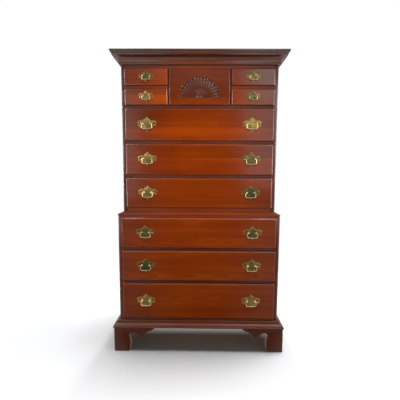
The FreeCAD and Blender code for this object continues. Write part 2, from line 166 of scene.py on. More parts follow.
def buildWoodFigure():
    look = grainLook
    tree, take, give = newGroup(
        "woodFigure",
        {"Vector": "Grain Board", "Color": "Pale Body Dark", "Float": "Shift Flitch Figure Streak Fleck"},
        {"Color": "Colour", "Float": "Height Sheen"},
    )
    seed, tone, glue = split(tree, take["Board"])
    along, across, through = split(tree, take["Grain"])
    flitch = take["Flitch"]

    # which of the glued boards this is, and where its own figure starts
    number = calc(tree, "FLOOR", calc(tree, "DIVIDE", calc(tree, "SUBTRACT", across, glue), flitch))
    boardSeed = mulAdd(tree, number, look["seedStep"], seed)
    picked = addNode(tree, "TexWhiteNoise", {"W": boardSeed}, noise_dimensions="1D").outputs["Color"]
    pickA, pickB, pickC = addNode(tree, "SeparateColor", {0: picked}).outputs
    skewed = times(tree, boardSeed, look["seedSkew"])
    offset = addNode(tree, "CombineXYZ", {0: boardSeed, 1: skewed, 2: boardSeed}).outputs[0]
    place = addNode(tree, "VectorMath", {0: take["Grain"], 1: offset}, operation="ADD").outputs[0]

    # growth rings round a heart that lies off the board's middle
    boardMiddle = mulAdd(tree, calc(tree, "ADD", number, 0.5), flitch, glue)
    side = swing(tree, pickA, look["heartSpread"], calc(tree, "SUBTRACT", across, boardMiddle))
    drift = swing(tree, pickC, look["heartDrift"], 0.0)
    depth = mulAdd(tree, along, drift, mulAdd(tree, pickB, look["heartRange"], look["heartDepth"]))
    depth = calc(tree, "ADD", depth, through)
    squares = calc(tree, "ADD", times(tree, side, side), times(tree, depth, depth))
    wander = times(tree, noise(tree, place, look["wanderScale"], 3.0), look["wander"])
    phase = mulAdd(tree, calc(tree, "SQRT", squares), look["ringsPerMetre"], wander)
    ring = calc(tree, "POWER", calc(tree, "FRACT", phase), look["ringSharp"])

    streak = noise(tree, place, look["streakScale"], 4.0, 0.6)
    fibre = noise(tree, place, look["fibreScale"])
    blotch = noise(tree, place, look["blotchScale"])
    pores = ramp(tree, noise(tree, place, look["poreScale"], 1.0), look["poreSpan"])
    flecks = ramp(tree, noise(tree, place, look["fleckScale"], 1.0), look["fleckSpan"])
    shade = mulAdd(tree, ring, times(tree, take["Figure"], -look["ringDark"]), look["plainShade"])
    shade = swing(tree, streak, take["Streak"], shade)
    shade = swing(tree, blotch, look["blotchShade"], shade)
    shade = swing(tree, fibre, look["fibreShade"], shade)
    shade = swing(tree, pickB, look["boardShade"], shade)
    darkToBody = times(tree, shade, 2.0, clamp=True)
    bodyToPale = mulAdd(tree, shade, 2.0, -1.0, clamp=True)
    colour = blendColour(tree, darkToBody, take["Dark"], take["Body"])
    colour = blendColour(tree, bodyToPale, colour, take["Pale"])
    marks = times(tree, calc(tree, "MAXIMUM", flecks, times(tree, pores, look["poreDark"])), take["Fleck"])
    colour = blendColour(tree, marks, colour, take["Dark"])
    above = calc(tree, "ADD", number, 1.0, clamp=True)  # 1 above the glue line
    tone = times(tree, tone, mulAdd(tree, above, take["Shift"], 1.0))
    toned = addNode(tree, "VectorMath", {0: colour, "Scale": tone}, operation="SCALE").outputs[0]
    feed(tree, toned, give["Colour"])
    feed(tree, calc(tree, "SUBTRACT", times(tree, fibre, look["fibreRise"]), pores), give["Height"])
    feed(tree, mulAdd(tree, blotch, 0.5, times(tree, fibre, 0.5)), give["Sheen"])
    return tree


# Handling and painted shade: paler rubbed arrises that also paint highlights, dark polish together with
# painted shade in the corners, dust on what faces up
wearAndShade = {
    "edgeRadius": 2.2 * mm, "edgeSpan": (0.985, 0.86),
    "patchScale": (38.0, 38.0, 38.0), "patchSpan": (0.34, 0.62),
    "smearScale": (14.0, 14.0, 14.0), "smearSpan": (0.25, 0.7), "smearEnds": (0.55, 1.0),
    "cornerReach": 12 * mm, "flatSpan": (0.72, 0.98), "soilShadeDull": 0.6,
}


def buildHandlingAndShade():
    tree, take, give = newGroup(
        "handlingAndShade",
        {"Color": "Colour Worn Soil Dust", "Float": "Rub Grime Settled"},
        {"Color": "Colour", "Float": "Dull"},
    )
    place = addNode(tree, "TexCoord").outputs["Object"]
    edge = edgeMask(tree, wearAndShade["edgeRadius"], wearAndShade["edgeSpan"])
    patchy = ramp(tree, noise(tree, place, wearAndShade["patchScale"], 3.0), wearAndShade["patchSpan"])
    # paler rubbed arrises: real wear, and also a painted highlight along the thumbnail lips
    rubbedAndHighlit = times(tree, times(tree, edge, patchy), take["Rub"])
    # painted shade: corners, crevices and rails under the drawer lips darken with the soil colour, along with
    # real grime
    corner = cornerMask(tree, wearAndShade["cornerReach"])
    smear = ramp(tree, noise(tree, place, wearAndShade["smearScale"], 3.0), wearAndShade["smearSpan"], wearAndShade["smearEnds"])
    soiledAndShaded = times(tree, times(tree, corner, smear), take["Grime"], clamp=True)
    flat = ramp(tree, split(tree, surfaceNormal(tree))[2], wearAndShade["flatSpan"])
    settled = times(tree, times(tree, flat, smear), take["Settled"])
    colour = blendColour(tree, rubbedAndHighlit, take["Colour"], take["Worn"])
    colour = blendColour(tree, soiledAndShaded, colour, take["Soil"])
    feed(tree, blendColour(tree, settled, colour, take["Dust"]), give["Colour"])
    feed(tree, mulAdd(tree, soiledAndShaded, wearAndShade["soilShadeDull"], settled), give["Dull"])
    return tree


# Cast and chased brass: gold where it is rubbed, olive and brown where the polish stays, and painted shade in
# the same brown in the hollows beside posts and bails.
# Age is a seed, then how tarnished and how green the pull is; per pull these values also paint a darker or
# brighter reflection.
patinaAndShade = {
    "cloudScale": (60.0, 60.0, 60.0), "cloudSpan": (0.35, 0.68), "speckScale": (620.0, 620.0, 620.0),
    "speckSpan": (0.55, 0.75), "scratchScale": (900.0, 900.0, 90.0), "edgeRadius": 2.4 * mm,
    "edgeSpan": (0.985, 0.88), "edgeRub": 0.85, "pocketReach": 6 * mm, "pocketBrownShade": 0.95, "pocketDull": 0.5,
    "filmDull": 0.7, "speckDull": 0.25, "speckRise": 0.5,
}


def buildBrassPatinaAndShade():
    tree, take, give = newGroup(
        "brassPatinaAndShade",
        {"Color": "Bright Olive Green Brown", "Float": "Tarnish", "Vector": "Age"},
        {"Color": "Colour", "Float": "Dull Height"},
    )
    place = addNode(tree, "TexCoord").outputs["Object"]
    tarnishAndReflection, greened = split(tree, take["Age"])[1:]
    cloud = ramp(tree, noise(tree, place, patinaAndShade["cloudScale"], 4.0, 0.6), patinaAndShade["cloudSpan"])
    speck = ramp(tree, noise(tree, place, patinaAndShade["speckScale"]), patinaAndShade["speckSpan"])
    scratch = noise(tree, place, patinaAndShade["scratchScale"])
    edge = edgeMask(tree, patinaAndShade["edgeRadius"], patinaAndShade["edgeSpan"])
    pocket = cornerMask(tree, patinaAndShade["pocketReach"])
    film = times(tree, mulAdd(tree, speck, patinaAndShade["speckDull"], cloud), take["Tarnish"])
    # each pull's own darkening: tarnish, and painted reflection as well
    film = calc(tree, "ADD", film, tarnishAndReflection, clamp=True)
    film = times(tree, film, mulAdd(tree, edge, -patinaAndShade["edgeRub"], 1.0), clamp=True)
    colour = blendColour(tree, film, take["Bright"], blendColour(tree, greened, take["Olive"], take["Green"]))
    # patina and painted shade: hollows next to other parts take the dark brown
    brownedAndShaded = times(tree, pocket, patinaAndShade["pocketBrownShade"], clamp=True)
    feed(tree, blendColour(tree, brownedAndShaded, colour, take["Brown"]), give["Colour"])
    dull = mulAdd(tree, film, patinaAndShade["filmDull"], times(tree, pocket, patinaAndShade["pocketDull"]))
    feed(tree, dull, give["Dull"])
    feed(tree, mulAdd(tree, speck, patinaAndShade["speckRise"], scratch), give["Height"])
    return tree


woodFigure = buildWoodFigure()
handlingAndShade = buildHandlingAndShade()
brassPatinaAndShade = buildBrassPatinaAndShade()

# Woods: colours as seen in sRGB, flitch is the width of the glued boards.
# What a wood leaves out is in plainWood.
plainWood = {
    "flitch": 0.6, "fleck": 0.45, "settled": 0.0, "dust": (150, 138, 128), "relief": 0.08,
    "reliefDeep": 0.4 * mm, "dullRough": 0.3,
}
# the soil colour and the grime amount paint grime and shade together in corners and under the lips
woods = {
    # the worn colour is rubbed wood and also a painted highlight on the arrises
    "drawerCherry": {
        "pale": (172, 76, 6), "body": (144, 54, 4), "dark": (98, 30, 4), "worn": (196, 132, 96),
        "soil": (26, 10, 7), "figure": 0.48, "streak": 0.75, "rub": 0.5, "grime": 0.9,
        "rough": (0.12, 0.20), "specular": 0.5,
    },
    "railCherry": {
        "pale": (124, 54, 18), "body": (100, 40, 14), "dark": (66, 24, 9), "worn": (150, 90, 60),
        "soil": (20, 8, 6), "figure": 0.40, "streak": 0.6, "rub": 0.2, "grime": 1.1,
        "rough": (0.30, 0.42), "specular": 0.25,
    },
    "waistCherry": {
        "pale": (168, 74, 8), "body": (140, 52, 5), "dark": (96, 30, 4), "worn": (188, 118, 74),
        "soil": (26, 10, 7), "figure": 0.40, "streak": 0.55, "rub": 0.4, "grime": 1.0,
        "rough": (0.30, 0.42), "specular": 0.2,
    },
    "sideCherry": {
        "pale": (136, 62, 26), "body": (112, 46, 20), "dark": (76, 28, 13), "worn": (168, 106, 74),
        "soil": (24, 10, 8), "flitch": 0.135, "figure": 0.5, "streak": 0.7, "rub": 0.5, "grime": 0.75,
        "settled": 0.03, "rough": (0.18, 0.30), "specular": 0.7,
    },
    "mouldingCherry": {
        "pale": (128, 62, 34), "body": (104, 46, 24), "dark": (70, 29, 15), "worn": (158, 106, 82),
        "soil": (20, 9, 7), "figure": 0.35, "streak": 0.6, "fleck": 0.4, "rub": 0.5, "grime": 0.9,
        "settled": 0.06, "rough": (0.18, 0.30), "specular": 0.6,
    },
    "paleDrawerWood": {
        "pale": (214, 184, 138), "body": (194, 160, 112), "dark": (150, 114, 74), "worn": (222, 198, 158),
        "soil": (84, 60, 40), "figure": 0.6, "streak": 0.9, "fleck": 0.5, "rub": 0.4, "grime": 0.7,
        "settled": 0.06, "rough": (0.46, 0.62), "specular": 0.3, "relief": 0.22,
    },
    "insideBoard": {
        "pale": (186, 154, 112), "body": (162, 128, 88), "dark": (118, 88, 58), "worn": (198, 172, 134),
        "soil": (66, 47, 32), "flitch": 0.16, "figure": 0.7, "streak": 0.9, "fleck": 0.6, "rub": 0.3,
        "grime": 0.8, "settled": 0.12, "rough": (0.55, 0.72), "specular": 0.25, "relief": 0.30,
    },
    "backBoard": {
        "pale": (176, 136, 92), "body": (152, 112, 72), "dark": (110, 76, 46), "worn": (190, 156, 114),
        "soil": (62, 42, 28), "flitch": 0.19, "figure": 0.8, "streak": 0.9, "fleck": 0.6, "rub": 0.3,
        "grime": 0.8, "settled": 0.10, "rough": (0.55, 0.72), "specular": 0.25, "relief": 0.30,
    },
}
cadBoard = {"seed": 4.7, "tone": 1.0, "glue": 0.02}  # for the nodes that keep their CAD shape


def newMaterial(name):
    material = bpy.data.materials.new(name)
    material.use_nodes = True
    return material, material.node_tree, material.node_tree.nodes["Principled BSDF"]


def attribute(tree, name, output="Vector"):
    return addNode(tree, "Attribute", attribute_name=name).outputs[output]


# What a finish feeds to the sockets of a group
def finishFeeds(finish, colours, values):
    feeds = {label: paint(*finish[label.lower()]) for label in colours.split()}
    feeds.update({label: finish[label.lower()] for label in values.split()})
    return feeds


def dressShader(tree, shader, finish, colour, rough, height):
    feeds = {"Strength": finish["relief"], "Distance": finish["reliefDeep"], "Height": height}
    tree.links.new(colour, shader.inputs["Base Color"])
    tree.links.new(rough, shader.inputs["Roughness"])
    tree.links.new(addNode(tree, "Bump", feeds).outputs[0], shader.inputs["Normal"])


def woodMaterial(look, name=None, alongAxis=None):
    finish = {**plainWood, **woods[look]}
    material, tree, shader = newMaterial(name or look)
    if alongAxis is None:  # boards made here carry their own grain
        grain, board = attribute(tree, "grain"), attribute(tree, "board")
        shift = attribute(tree, "shift", "Fac")
    else:  # a CAD node is grained along one axis of the frame
        axes = split(tree, addNode(tree, "TexCoord").outputs["Object"])
        order = [alongAxis] + [index for index in range(3) if index != alongAxis]
        grain = addNode(tree, "CombineXYZ", {slot: axes[axis] for slot, axis in enumerate(order)}).outputs[0]
        board = (cadBoard["seed"] + alongAxis, cadBoard["tone"], cadBoard["glue"])
        shift = 0.0
    feeds = finishFeeds(finish, "Pale Body Dark", "Flitch Figure Streak Fleck")
    wood = placeGroup(tree, woodFigure, {"Grain": grain, "Board": board, "Shift": shift, **feeds})
    feeds = finishFeeds(finish, "Worn Soil Dust", "Rub Grime Settled")
    used = placeGroup(tree, handlingAndShade, {"Colour": wood["Colour"], **feeds})
    smooth, dull = finish["rough"]
    rough = mulAdd(tree, wood["Sheen"], dull - smooth, smooth)
    rough = mulAdd(tree, used["Dull"], finish["dullRough"], rough, clamp=True)
    dressShader(tree, shader, finish, used["Colour"], rough, wood["Height"])
    shader.inputs["Specular IOR Level"].default_value = finish["specular"]
    return material


# Metals: film is how much of the metal's own gleam the tarnish takes away
metals = {
    "plateBrass": {
        "bright": (178, 150, 86), "olive": (124, 102, 46), "green": (66, 64, 26), "brown": (36, 25, 9),
        "tarnish": 0.8, "rough": (0.26, 0.46), "relief": 0.12, "film": 0.9,
    },
    "bailBrass": {
        "bright": (192, 163, 118), "olive": (152, 126, 76), "green": (108, 104, 56), "brown": (44, 32, 13),
        "tarnish": 0.6, "rough": (0.40, 0.55), "relief": 0.08, "film": 0.7,
    },
    "oldBrass": {
        "bright": (58, 38, 16), "olive": (40, 26, 12), "green": (36, 26, 13), "brown": (16, 10, 6),
        "tarnish": 1.0, "rough": (0.5, 0.65), "relief": 0.12, "film": 1.3,
    },
    "nailSteel": {
        "bright": (120, 116, 112), "olive": (84, 76, 70), "green": (84, 76, 70), "brown": (52, 38, 28),
        "tarnish": 0.9, "rough": (0.38, 0.6), "relief": 0.15, "film": 0.6,
    },
}


def metalMaterial(look):
    finish = {"reliefDeep": 0.15 * mm, **metals[look]}
    material, tree, shader = newMaterial(look)
    feeds = finishFeeds(finish, "Bright Olive Green Brown", "Tarnish")
    brass = placeGroup(tree, brassPatinaAndShade, {"Age": attribute(tree, "board"), **feeds})
    smooth, dull = finish["rough"]
    rough = mulAdd(tree, brass["Dull"], dull - smooth, smooth)
    dressShader(tree, shader, finish, brass["Colour"], rough, brass["Height"])
    metallic = mulAdd(tree, brass["Dull"], -finish["film"], 1.0, clamp=True)
    tree.links.new(metallic, shader.inputs["Metallic"])
    return material


finishes = {look: woodMaterial(look) for look in woods}
finishes["runnerWood"] = woodMaterial("insideBoard", "runnerWood", 1)
finishes["blockWood"] = woodMaterial("insideBoard", "blockWood", 2)
finishes.update({look: metalMaterial(look) for look in metals})
print("finishes made")


# Small tools for meshes

axisOf = {"x": 0, "y": 1, "z": 2}
farGlue = 0.3  # a glue line this far from a board's middle is off the board


def newMesh():
    bm = bmesh.new()
    bm.verts.layers.float_vector.new("grain")
    bm.verts.layers.float_vector.new("board")
    bm.verts.layers.float.new("shift")
    return bm


# Writes the grain of one board: order names its along, across and into axes
def paintGrain(bm, verts, order, tone=1.0, glue=farGlue, change=0.0):
    grain = bm.verts.layers.float_vector["grain"]
    board = bm.verts.layers.float_vector["board"]
    shift = bm.verts.layers.float["shift"]
    points = [vert.co for vert in verts]
    middle = [(min(p[i] for p in points) + max(p[i] for p in points)) / 2 for i in range(3)]
    seed = dice.uniform(0, 90)
    for vert in verts:
        vert[grain] = [vert.co[axisOf[name]] - middle[axisOf[name]] for name in order]
        vert[board], vert[shift] = (seed, tone, glue), change


def tintBoard(bm, verts, change):
    board = bm.verts.layers.float_vector["board"]
    for vert in verts:
        vert[board].y *= change


def loft(bm, rings, caps=(True, True)):
    rows = [[bm.verts.new(point) for point in ring] for ring in rings]
    count = len(rows[0])
    for lower, upper in zip(rows, rows[1:]):
        for index in range(count):
            after = (index + 1) % count
            bm.faces.new((lower[index], lower[after], upper[after], upper[index]))
    if caps[0]:
        bm.faces.new(rows[0][::-1])
    if caps[1]:
        bm.faces.new(rows[-1])
    return rows


# Closes the flat between an outline and the rings inside it
def fillBetween(bm, *rings):
    edges = []
    for ring in rings:
        for index, vert in enumerate(ring):
            after = ring[(index + 1) % len(ring)]
            edges.append(bm.edges.get((vert, after)) or bm.edges.new((vert, after)))
    bmesh.ops.triangle_fill(bm, use_beauty=True, use_dissolve=False, edges=edges)


# Rounds the true arrises of what was just lofted, and leaves curves as they are
def easeEdges(bm, verts, width, angle):
    bm.normal_update()
    edges = {edge for vert in verts for edge in vert.link_edges}
    sharp = [e for e in edges if len(e.link_faces) == 2 and e.calc_face_angle(0.0) > math.radians(angle)]
    before = set(bm.verts) - set(verts)
    bmesh.ops.bevel(bm, geom=sharp, offset=width, segments=2, profile=0.5, affect="EDGES", clamp_overlap=True)
    return [vert for vert in bm.verts if vert not in before]


def addShaped(bm, rings, order, ease, tone=1.0, glue=farGlue, angle=35.0):
    verts = easeEdges(bm, sum(loft(bm, rings), []), ease, angle)
    paintGrain(bm, verts, order, tone, glue)
    return verts


def addBoard(bm, low, high, order, tone=1.0, glue=farGlue, ease=0.8 * mm):
    along, first, second = (axisOf[name] for name in order)
    rings = []
    for place in (low[along], high[along]):
        ring = []
        for a, b in ((low, low), (high, low), (high, high), (low, high)):
            point = [0.0, 0.0, 0.0]
            point[along], point[first], point[second] = place, a[first], b[second]
            ring.append(point)
        rings.append(ring)
    addShaped(bm, rings, order, ease, tone, glue)


def addPiece(name, bm, body, look, replaced=(), smooth=25.0):
    bmesh.ops.recalc_face_normals(bm, faces=bm.faces)
    for face in bm.faces:
        face.smooth = True
    mesh = bpy.data.meshes.new(name)
    bm.to_mesh(mesh)
    bm.free()
    mesh.set_sharp_from_angle(angle=math.radians(smooth))
    mesh.materials.append(finishes[look])
    piece = bpy.data.objects.new(name, mesh)
    scene.collection.objects.link(piece)
    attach(piece, body)
    if replaced:
        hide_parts(*replaced)
    return piece


def quarterTurns(steps):
    return [math.pi / 2 * index / steps for index in range(steps + 1)]


def circle(x, z, radius, sides, y, start=0.0):
    turns = [start + 2 * math.pi * index / sides for index in range(sides)]
    return [(x + radius * math.cos(t), y, z + radius * math.sin(t)) for t in turns]


# An arc through three points, without its first one
def arcThrough(start, middle, end, steps):
    (ax, ay), (bx, by), (cx, cy) = start, middle, end
    a2, b2, c2 = (x * x + y * y for x, y in (start, middle, end))
    twice = 2 * (ax * (by - cy) + bx * (cy - ay) + cx * (ay - by))
    ux = (a2 * (by - cy) + b2 * (cy - ay) + c2 * (ay - by)) / twice
    uy = (a2 * (cx - bx) + b2 * (ax - cx) + c2 * (bx - ax)) / twice
    radius = math.hypot(ax - ux, ay - uy)
    first, second, last = (math.atan2(y - uy, x - ux) for x, y in (start, middle, end))
    sweep = (last - first) % (2 * math.pi)
    if (second - first) % (2 * math.pi) > sweep:
        sweep -= 2 * math.pi
    turns = [first + sweep * index / steps for index in range(1, steps + 1)]
    return [(ux + radius * math.cos(t), uy + radius * math.sin(t)) for t in turns]


# A table of steps from point to point: one point draws a line, two draw an arc
def traceShares(table, place, steps):
    points = [place(*table[0][0])]
    for step in table[1:]:
        ends = [place(*shares) for shares in step]
        points += ends if len(ends) == 1 else arcThrough(points[-1], ends[0], ends[1], steps)
    return points


# Where the case stands, read from the frame

caseShape = {
    "side": 25 * mm, "rebate": 12 * mm, "back": 6.5 * mm, "railDepth": 60 * mm, "lip": 4.5 * mm,
    # the divider's tone is painted shade, dark like the narrow gap between the lips
    "dustBoard": 12 * mm, "shelf": 18 * mm, "shelfGlue": 0.02, "divider": 16 * mm, "dividerShade": 0.4,
    "arris": 1.0 * mm, "wornSteps": 6, "lowerWorn": 1.5 * mm, "upperWorn": 6 * mm, "sideTone": (0.98, 0.94),
    "sideGlue": 0.06,
    # rails from the foot up: four of the lower case, four of the upper, two short ones, the frieze; their
    # tones are partly the wood's and partly painted light, darker where a rail sits in shade between the
    # lips, brighter on the frieze under the cornice
    "railToneAndShade": (0.8, 0.5, 0.7, 0.85, 0.8, 0.95, 0.9, 0.66, 1.5, 1.5, 1.55),
    "waistRails": (4, 5),  # the two that meet the waist moulding are as bright as it
}
lowerLow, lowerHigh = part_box("lower_case_sides")
upperLow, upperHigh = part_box("upper_case_sides")
caseBack = lowerHigh.y
panelFront = caseBack - caseShape["back"]
lowerInside = lowerHigh.x - caseShape["side"]
upperInside = upperHigh.x - caseShape["side"]
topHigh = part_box("cornice_moulding")[1].z
lip = caseShape["lip"]
lowerNames = ["lower_drawer_3", "lower_drawer_2", "lower_drawer_1"]
upperNames = ["upper_drawer_3", "upper_drawer_2", "upper_drawer_1"]
wideNames = lowerNames + upperNames
smallNames = ["small_drawer_" + row + "_" + side for row in ("low", "top") for side in ("left", "right")]
drawerNames = wideNames + smallNames + ["fan_drawer"]
faceBox = {name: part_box(name + "_front") for name in drawerNames}
rowFloor = faceBox["small_drawer_low_left"][0].z + lip
rowCeiling = faceBox["small_drawer_top_left"][1].z - lip


# Mouldings: three mitred lengths of one section round the front and the sides

mouldings = {
    "cornice_moulding": {
        "reach": 50 * mm, "tone": (1.0, 1.04, 1.02), "ease": 0.7 * mm, "wood": "mouldingCherry",
        "crownShade": (0.58, 0.56),  # from this share up the tone is darker, laid on as for another board: painted shade where the top of the cornice gets less light
        "section": (
            ((0.0, 0.0),), ((0.12, 0.0),), ((0.215, 0.08), (0.15, 0.165)), ((0.31, 0.455), (0.76, 0.59)),
            ((0.815, 0.59),), ((0.815, 0.69),), ((1.0, 0.85),), ((1.0, 0.956),),
            ((0.982, 0.987), (0.94, 1.0)), ((0.0, 1.0),),
        ),
    },
    "waist_moulding": {
        "reach": 28 * mm, "tone": (0.85, 0.8, 0.8), "ease": 0.5 * mm, "wood": "waistCherry",
        "section": (
            ((0.0, 0.0),), ((0.89, 0.0),), ((1.0, 0.23), (0.89, 0.46)), ((0.82, 0.46),), ((0.82, 0.54),),
            ((0.443, 0.65), (0.14, 1.0)), ((0.0, 1.0),),
        ),
    },
    "base_moulding": {
        "reach": 37 * mm, "tone": (0.84, 0.86, 0.92), "ease": 0.6 * mm, "wood": "railCherry",
        "section": (
            ((0.0, 0.0),), ((0.92, 0.0),), ((1.0, 0.138), (0.92, 0.276)), ((0.81, 0.276),), ((0.81, 0.316),),
            ((0.595, 0.566), (0.30, 0.71)), ((0.243, 0.71),), ((0.243, 0.763),), ((0.20, 0.90), (0.07, 1.0)),
            ((0.0, 1.0),),
        ),
    },
}
mouldingSteps = 10


def buildMoulding(node):
    shape = mouldings[node]
    low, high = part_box(node)
    reach, tall = shape["reach"], high.z - low.z
    half, front = high.x - reach, low.y + reach
    profile = traceShares(shape["section"], lambda out, up: (out * reach, up * tall), mouldingSteps)

    def mitred(sign):
        return [(sign * (half + out), front - out, low.z + up) for out, up in profile]

    def squared(sign):
        return [(sign * (half + out), caseBack, low.z + up) for out, up in profile]

    lengths = (
        ("front", (mitred(-1), mitred(1)), "xzy"),
        ("left", (mitred(-1), squared(-1)), "yzx"),
        ("right", (mitred(1), squared(1)), "yzx"),
    )
    for (label, rings, order), tone in zip(lengths, shape["tone"]):
        bm = newMesh()
        verts = addShaped(bm, rings, order, shape["ease"], tone)
        # painted shade: the top of the cornice is darkened
        if "crownShade" in shape:
            share, change = shape["crownShade"]
            tintBoard(bm, [vert for vert in verts if vert.co.z - low.z > share * tall], change)
        addPiece(node + "_" + label, bm, "case", shape["wood"], (node,))


for node in mouldings:
    buildMoulding(node)
print("mouldings made")


# Bracket feet: shaped boards, mitred at the front corners

feet = {
    "foot": 91 * mm, "frontWing": 155 * mm, "sideWing": 115 * mm, "rearWing": 62 * mm, "thick": 20 * mm,
    "ease": 1.2 * mm, "easeAngle": 40.0, "steps": 9, "tone": (0.92, 0.80, 0.78, 0.72),
    # each place is a share of the foot's width, of the wing and of the height
    "bracket": (
        ((0.0, 0.0, 0.0),), ((1.0, 0.0, 0.0),), ((1.115, 0.0, 0.30), (1.005, 0.0, 0.66)),
        ((1.0, 0.11, 0.80), (1.0, 0.265, 0.763)), ((1.0, 0.355, 0.66), (1.0, 0.458, 0.605)),
        ((1.0, 0.548, 0.608),), ((1.0, 0.639, 0.74), (1.0, 0.78, 0.855)),
        ((1.0, 0.91, 0.895), (1.0, 1.0, 0.966)), ((1.0, 1.0, 1.0),), ((0.0, 0.0, 1.0),),
    ),
    "rear": (
        ((0.0, 0.0, 0.0),), ((0.8, 0.0, 0.0),), ((0.9, 0.15, 0.36), (1.0, 1.0, 0.66)), ((1.0, 1.0, 1.0),),
        ((0.0, 0.0, 1.0),),
    ),
}


def buildFeet():
    low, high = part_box("bracket_feet")
    tall, thick = high.z - low.z, feet["thick"]
    back, fore = Vector((0, 1, 0)), Vector((0, -1, 0))
    for sign, side in bothSides:
        corner, rear = Vector((sign * high.x, low.y, 0)), Vector((sign * high.x, high.y, 0))
        inX = Vector((-sign, 0, 0))
        boards = [
            ("front", feet["bracket"], corner, inX, back, feet["frontWing"], thick, "xzy"),
            ("side", feet["bracket"], corner, back, inX, feet["sideWing"], thick, "yzx"),
            ("rear_side", feet["bracket"], rear, fore, inX, feet["sideWing"], 0.0, "yzx"),
            ("rear", feet["rear"], rear + inX * thick, inX, fore, feet["rearWing"], 0.0, "xzy"),
        ]
        for (label, table, start, run, inward, wing, mitre, order), tone in zip(boards, feet["tone"]):
            outline = traceShares(
                table, lambda foot, wings, up: (foot * feet["foot"] + wings * wing, up * tall), feet["steps"])
            face = [start + run * along + Vector((0, 0, up)) for along, up in outline]
            inner = [
                start + run * max(along, mitre) + inward * thick + Vector((0, 0, up)) for along, up in outline
            ]
            bm = newMesh()
            addShaped(bm, [face, inner], order, feet["ease"], tone, angle=feet["easeAngle"])
            name = "bracket_foot_" + side + "_" + label
            addPiece(name, bm, "case", "railCherry", ("bracket_feet",))


buildFeet()
print("feet made")


# Case: sides with their rebates, rails, dividers, boards and backs

def buildSides(node, low, high, label, worn):
    inner = high.x - caseShape["side"]
    step = inner + caseShape["rebate"]
    plan = [(inner, low.y)]
    for turn in quarterTurns(caseShape["wornSteps"]):
        plan.append((high.x - worn + worn * math.sin(turn), low.y + worn - worn * math.cos(turn)))
    plan += [(high.x, high.y), (step, high.y), (step, panelFront), (inner, panelFront)]
    drift = caseShape["sideGlue"]
    for (sign, side), tone in zip(bothSides, caseShape["sideTone"]):
        bm = newMesh()
        rings = [[(sign * x, y, z) for x, y in plan] for z in (low.z, high.z)]
        addShaped(bm, rings, "zyx", caseShape["arris"], tone, dice.uniform(-drift, drift))
        addPiece(label + "_side_" + side, bm, "case", "sideCherry", (node,))


buildSides("lower_case_sides", lowerLow, lowerHigh, "lower_case", caseShape["lowerWorn"])
buildSides("upper_case_sides", upperLow, upperHigh, "upper_case", caseShape["upperWorn"])


def boardPiece(name, low, high, order, look, node, tone=1.0):
    bm = newMesh()
    glue = caseShape["shelfGlue"] if look == "insideBoard" else farGlue
    addBoard(bm, Vector(low), Vector(high), order, tone, glue)
    addPiece(name, bm, "case", look, (node,))


def buildRails():
    spans = []
    cases = (
        (lowerNames, lowerInside, lowerLow.y, lowerLow.z, lowerHigh.z),
        (upperNames, upperInside, upperLow.y, upperLow.z, rowFloor),
    )
    for names, inside, front, bottom, top in cases:
        lows = [bottom] + [faceBox[name][1].z - lip for name in names]
        highs = [faceBox[name][0].z + lip for name in names] + [top]
        spans += [(-inside, inside, front, a, b) for a, b in zip(lows, highs)]
    outer = faceBox["small_drawer_low_right"][0].x + lip
    short = (faceBox["small_drawer_low_left"][1].z - lip, faceBox["small_drawer_top_left"][0].z + lip)
    spans.append((-upperInside, -outer, upperLow.y) + short)
    spans.append((outer, upperInside, upperLow.y) + short)
    spans.append((-upperInside, upperInside, upperLow.y, rowCeiling, upperHigh.z))
    # the rail tones carry painted shade and painted light as well as the wood's tone
    for number, ((x0, x1, y, z0, z1), tone) in enumerate(zip(spans, caseShape["railToneAndShade"]), 1):
        low, high = (x0, y, z0), (x1, y + caseShape["railDepth"], z1)
        look = "waistCherry" if number in caseShape["waistRails"] else "railCherry"
        boardPiece("drawer_rail_%d" % number, low, high, "xzy", look, "drawer_rails", tone)
    inner = outer - caseShape["divider"]
    for sign, side in bothSides:
        x0, x1 = sorted((sign * inner, sign * outer))
        low, high = (x0, upperLow.y, rowFloor), (x1, panelFront, rowCeiling)
        # painted shade: the dividers are darkened as if in shadow
        name, tone = "drawer_divider_" + side, caseShape["dividerShade"]
        boardPiece(name, low, high, "zyx", "railCherry", "drawer_dividers", tone)


def buildBoards():
    lowerRear = lowerLow.y + caseShape["railDepth"]
    upperRear = upperLow.y + caseShape["railDepth"]
    thin, shelf = caseShape["dustBoard"], caseShape["shelf"]
    boards = (
        ("case_floor", lowerInside, lowerRear, panelFront, lowerLow.z, lowerLow.z + thin),
        ("waist_board", lowerInside, lowerRear, panelFront, lowerHigh.z - thin, lowerHigh.z),
        ("row_shelf", upperInside, upperRear, panelFront, rowFloor - shelf, rowFloor),
        ("top_board", upperHigh.x, upperLow.y, caseBack, upperHigh.z, topHigh),
    )
    for name, half, front, rear, bottom, top in boards:
        low, high = (-half, front, bottom), (half, rear, top)
        boardPiece(name, low, high, "xyz", "insideBoard", "case_boards")


buildRails()
buildBoards()


# Backs: thin boards in the rebates, held by a row of nails

backs = {
    "edgeGap": 0.3 * mm, "nailSpacing": 118 * mm, "nailInset": 9 * mm, "nailRadius": 2.6 * mm,
    "nailRise": 0.9 * mm, "nailSink": 0.2 * mm, "nailSides": 12,
    "nailDome": ((1.0, 0.0), (0.94, 0.45), (0.62, 0.88), (0.2, 1.0)),  # shares of its radius and rise
    "straggle": (1, 2),  # millimetres across and along the line
}


def addNail(bm, x, y, z):
    radius, rise, sides = backs["nailRadius"], backs["nailRise"], backs["nailSides"]
    loft(bm, [circle(x, z, share * radius, sides, y + up * rise) for share, up in backs["nailDome"]])


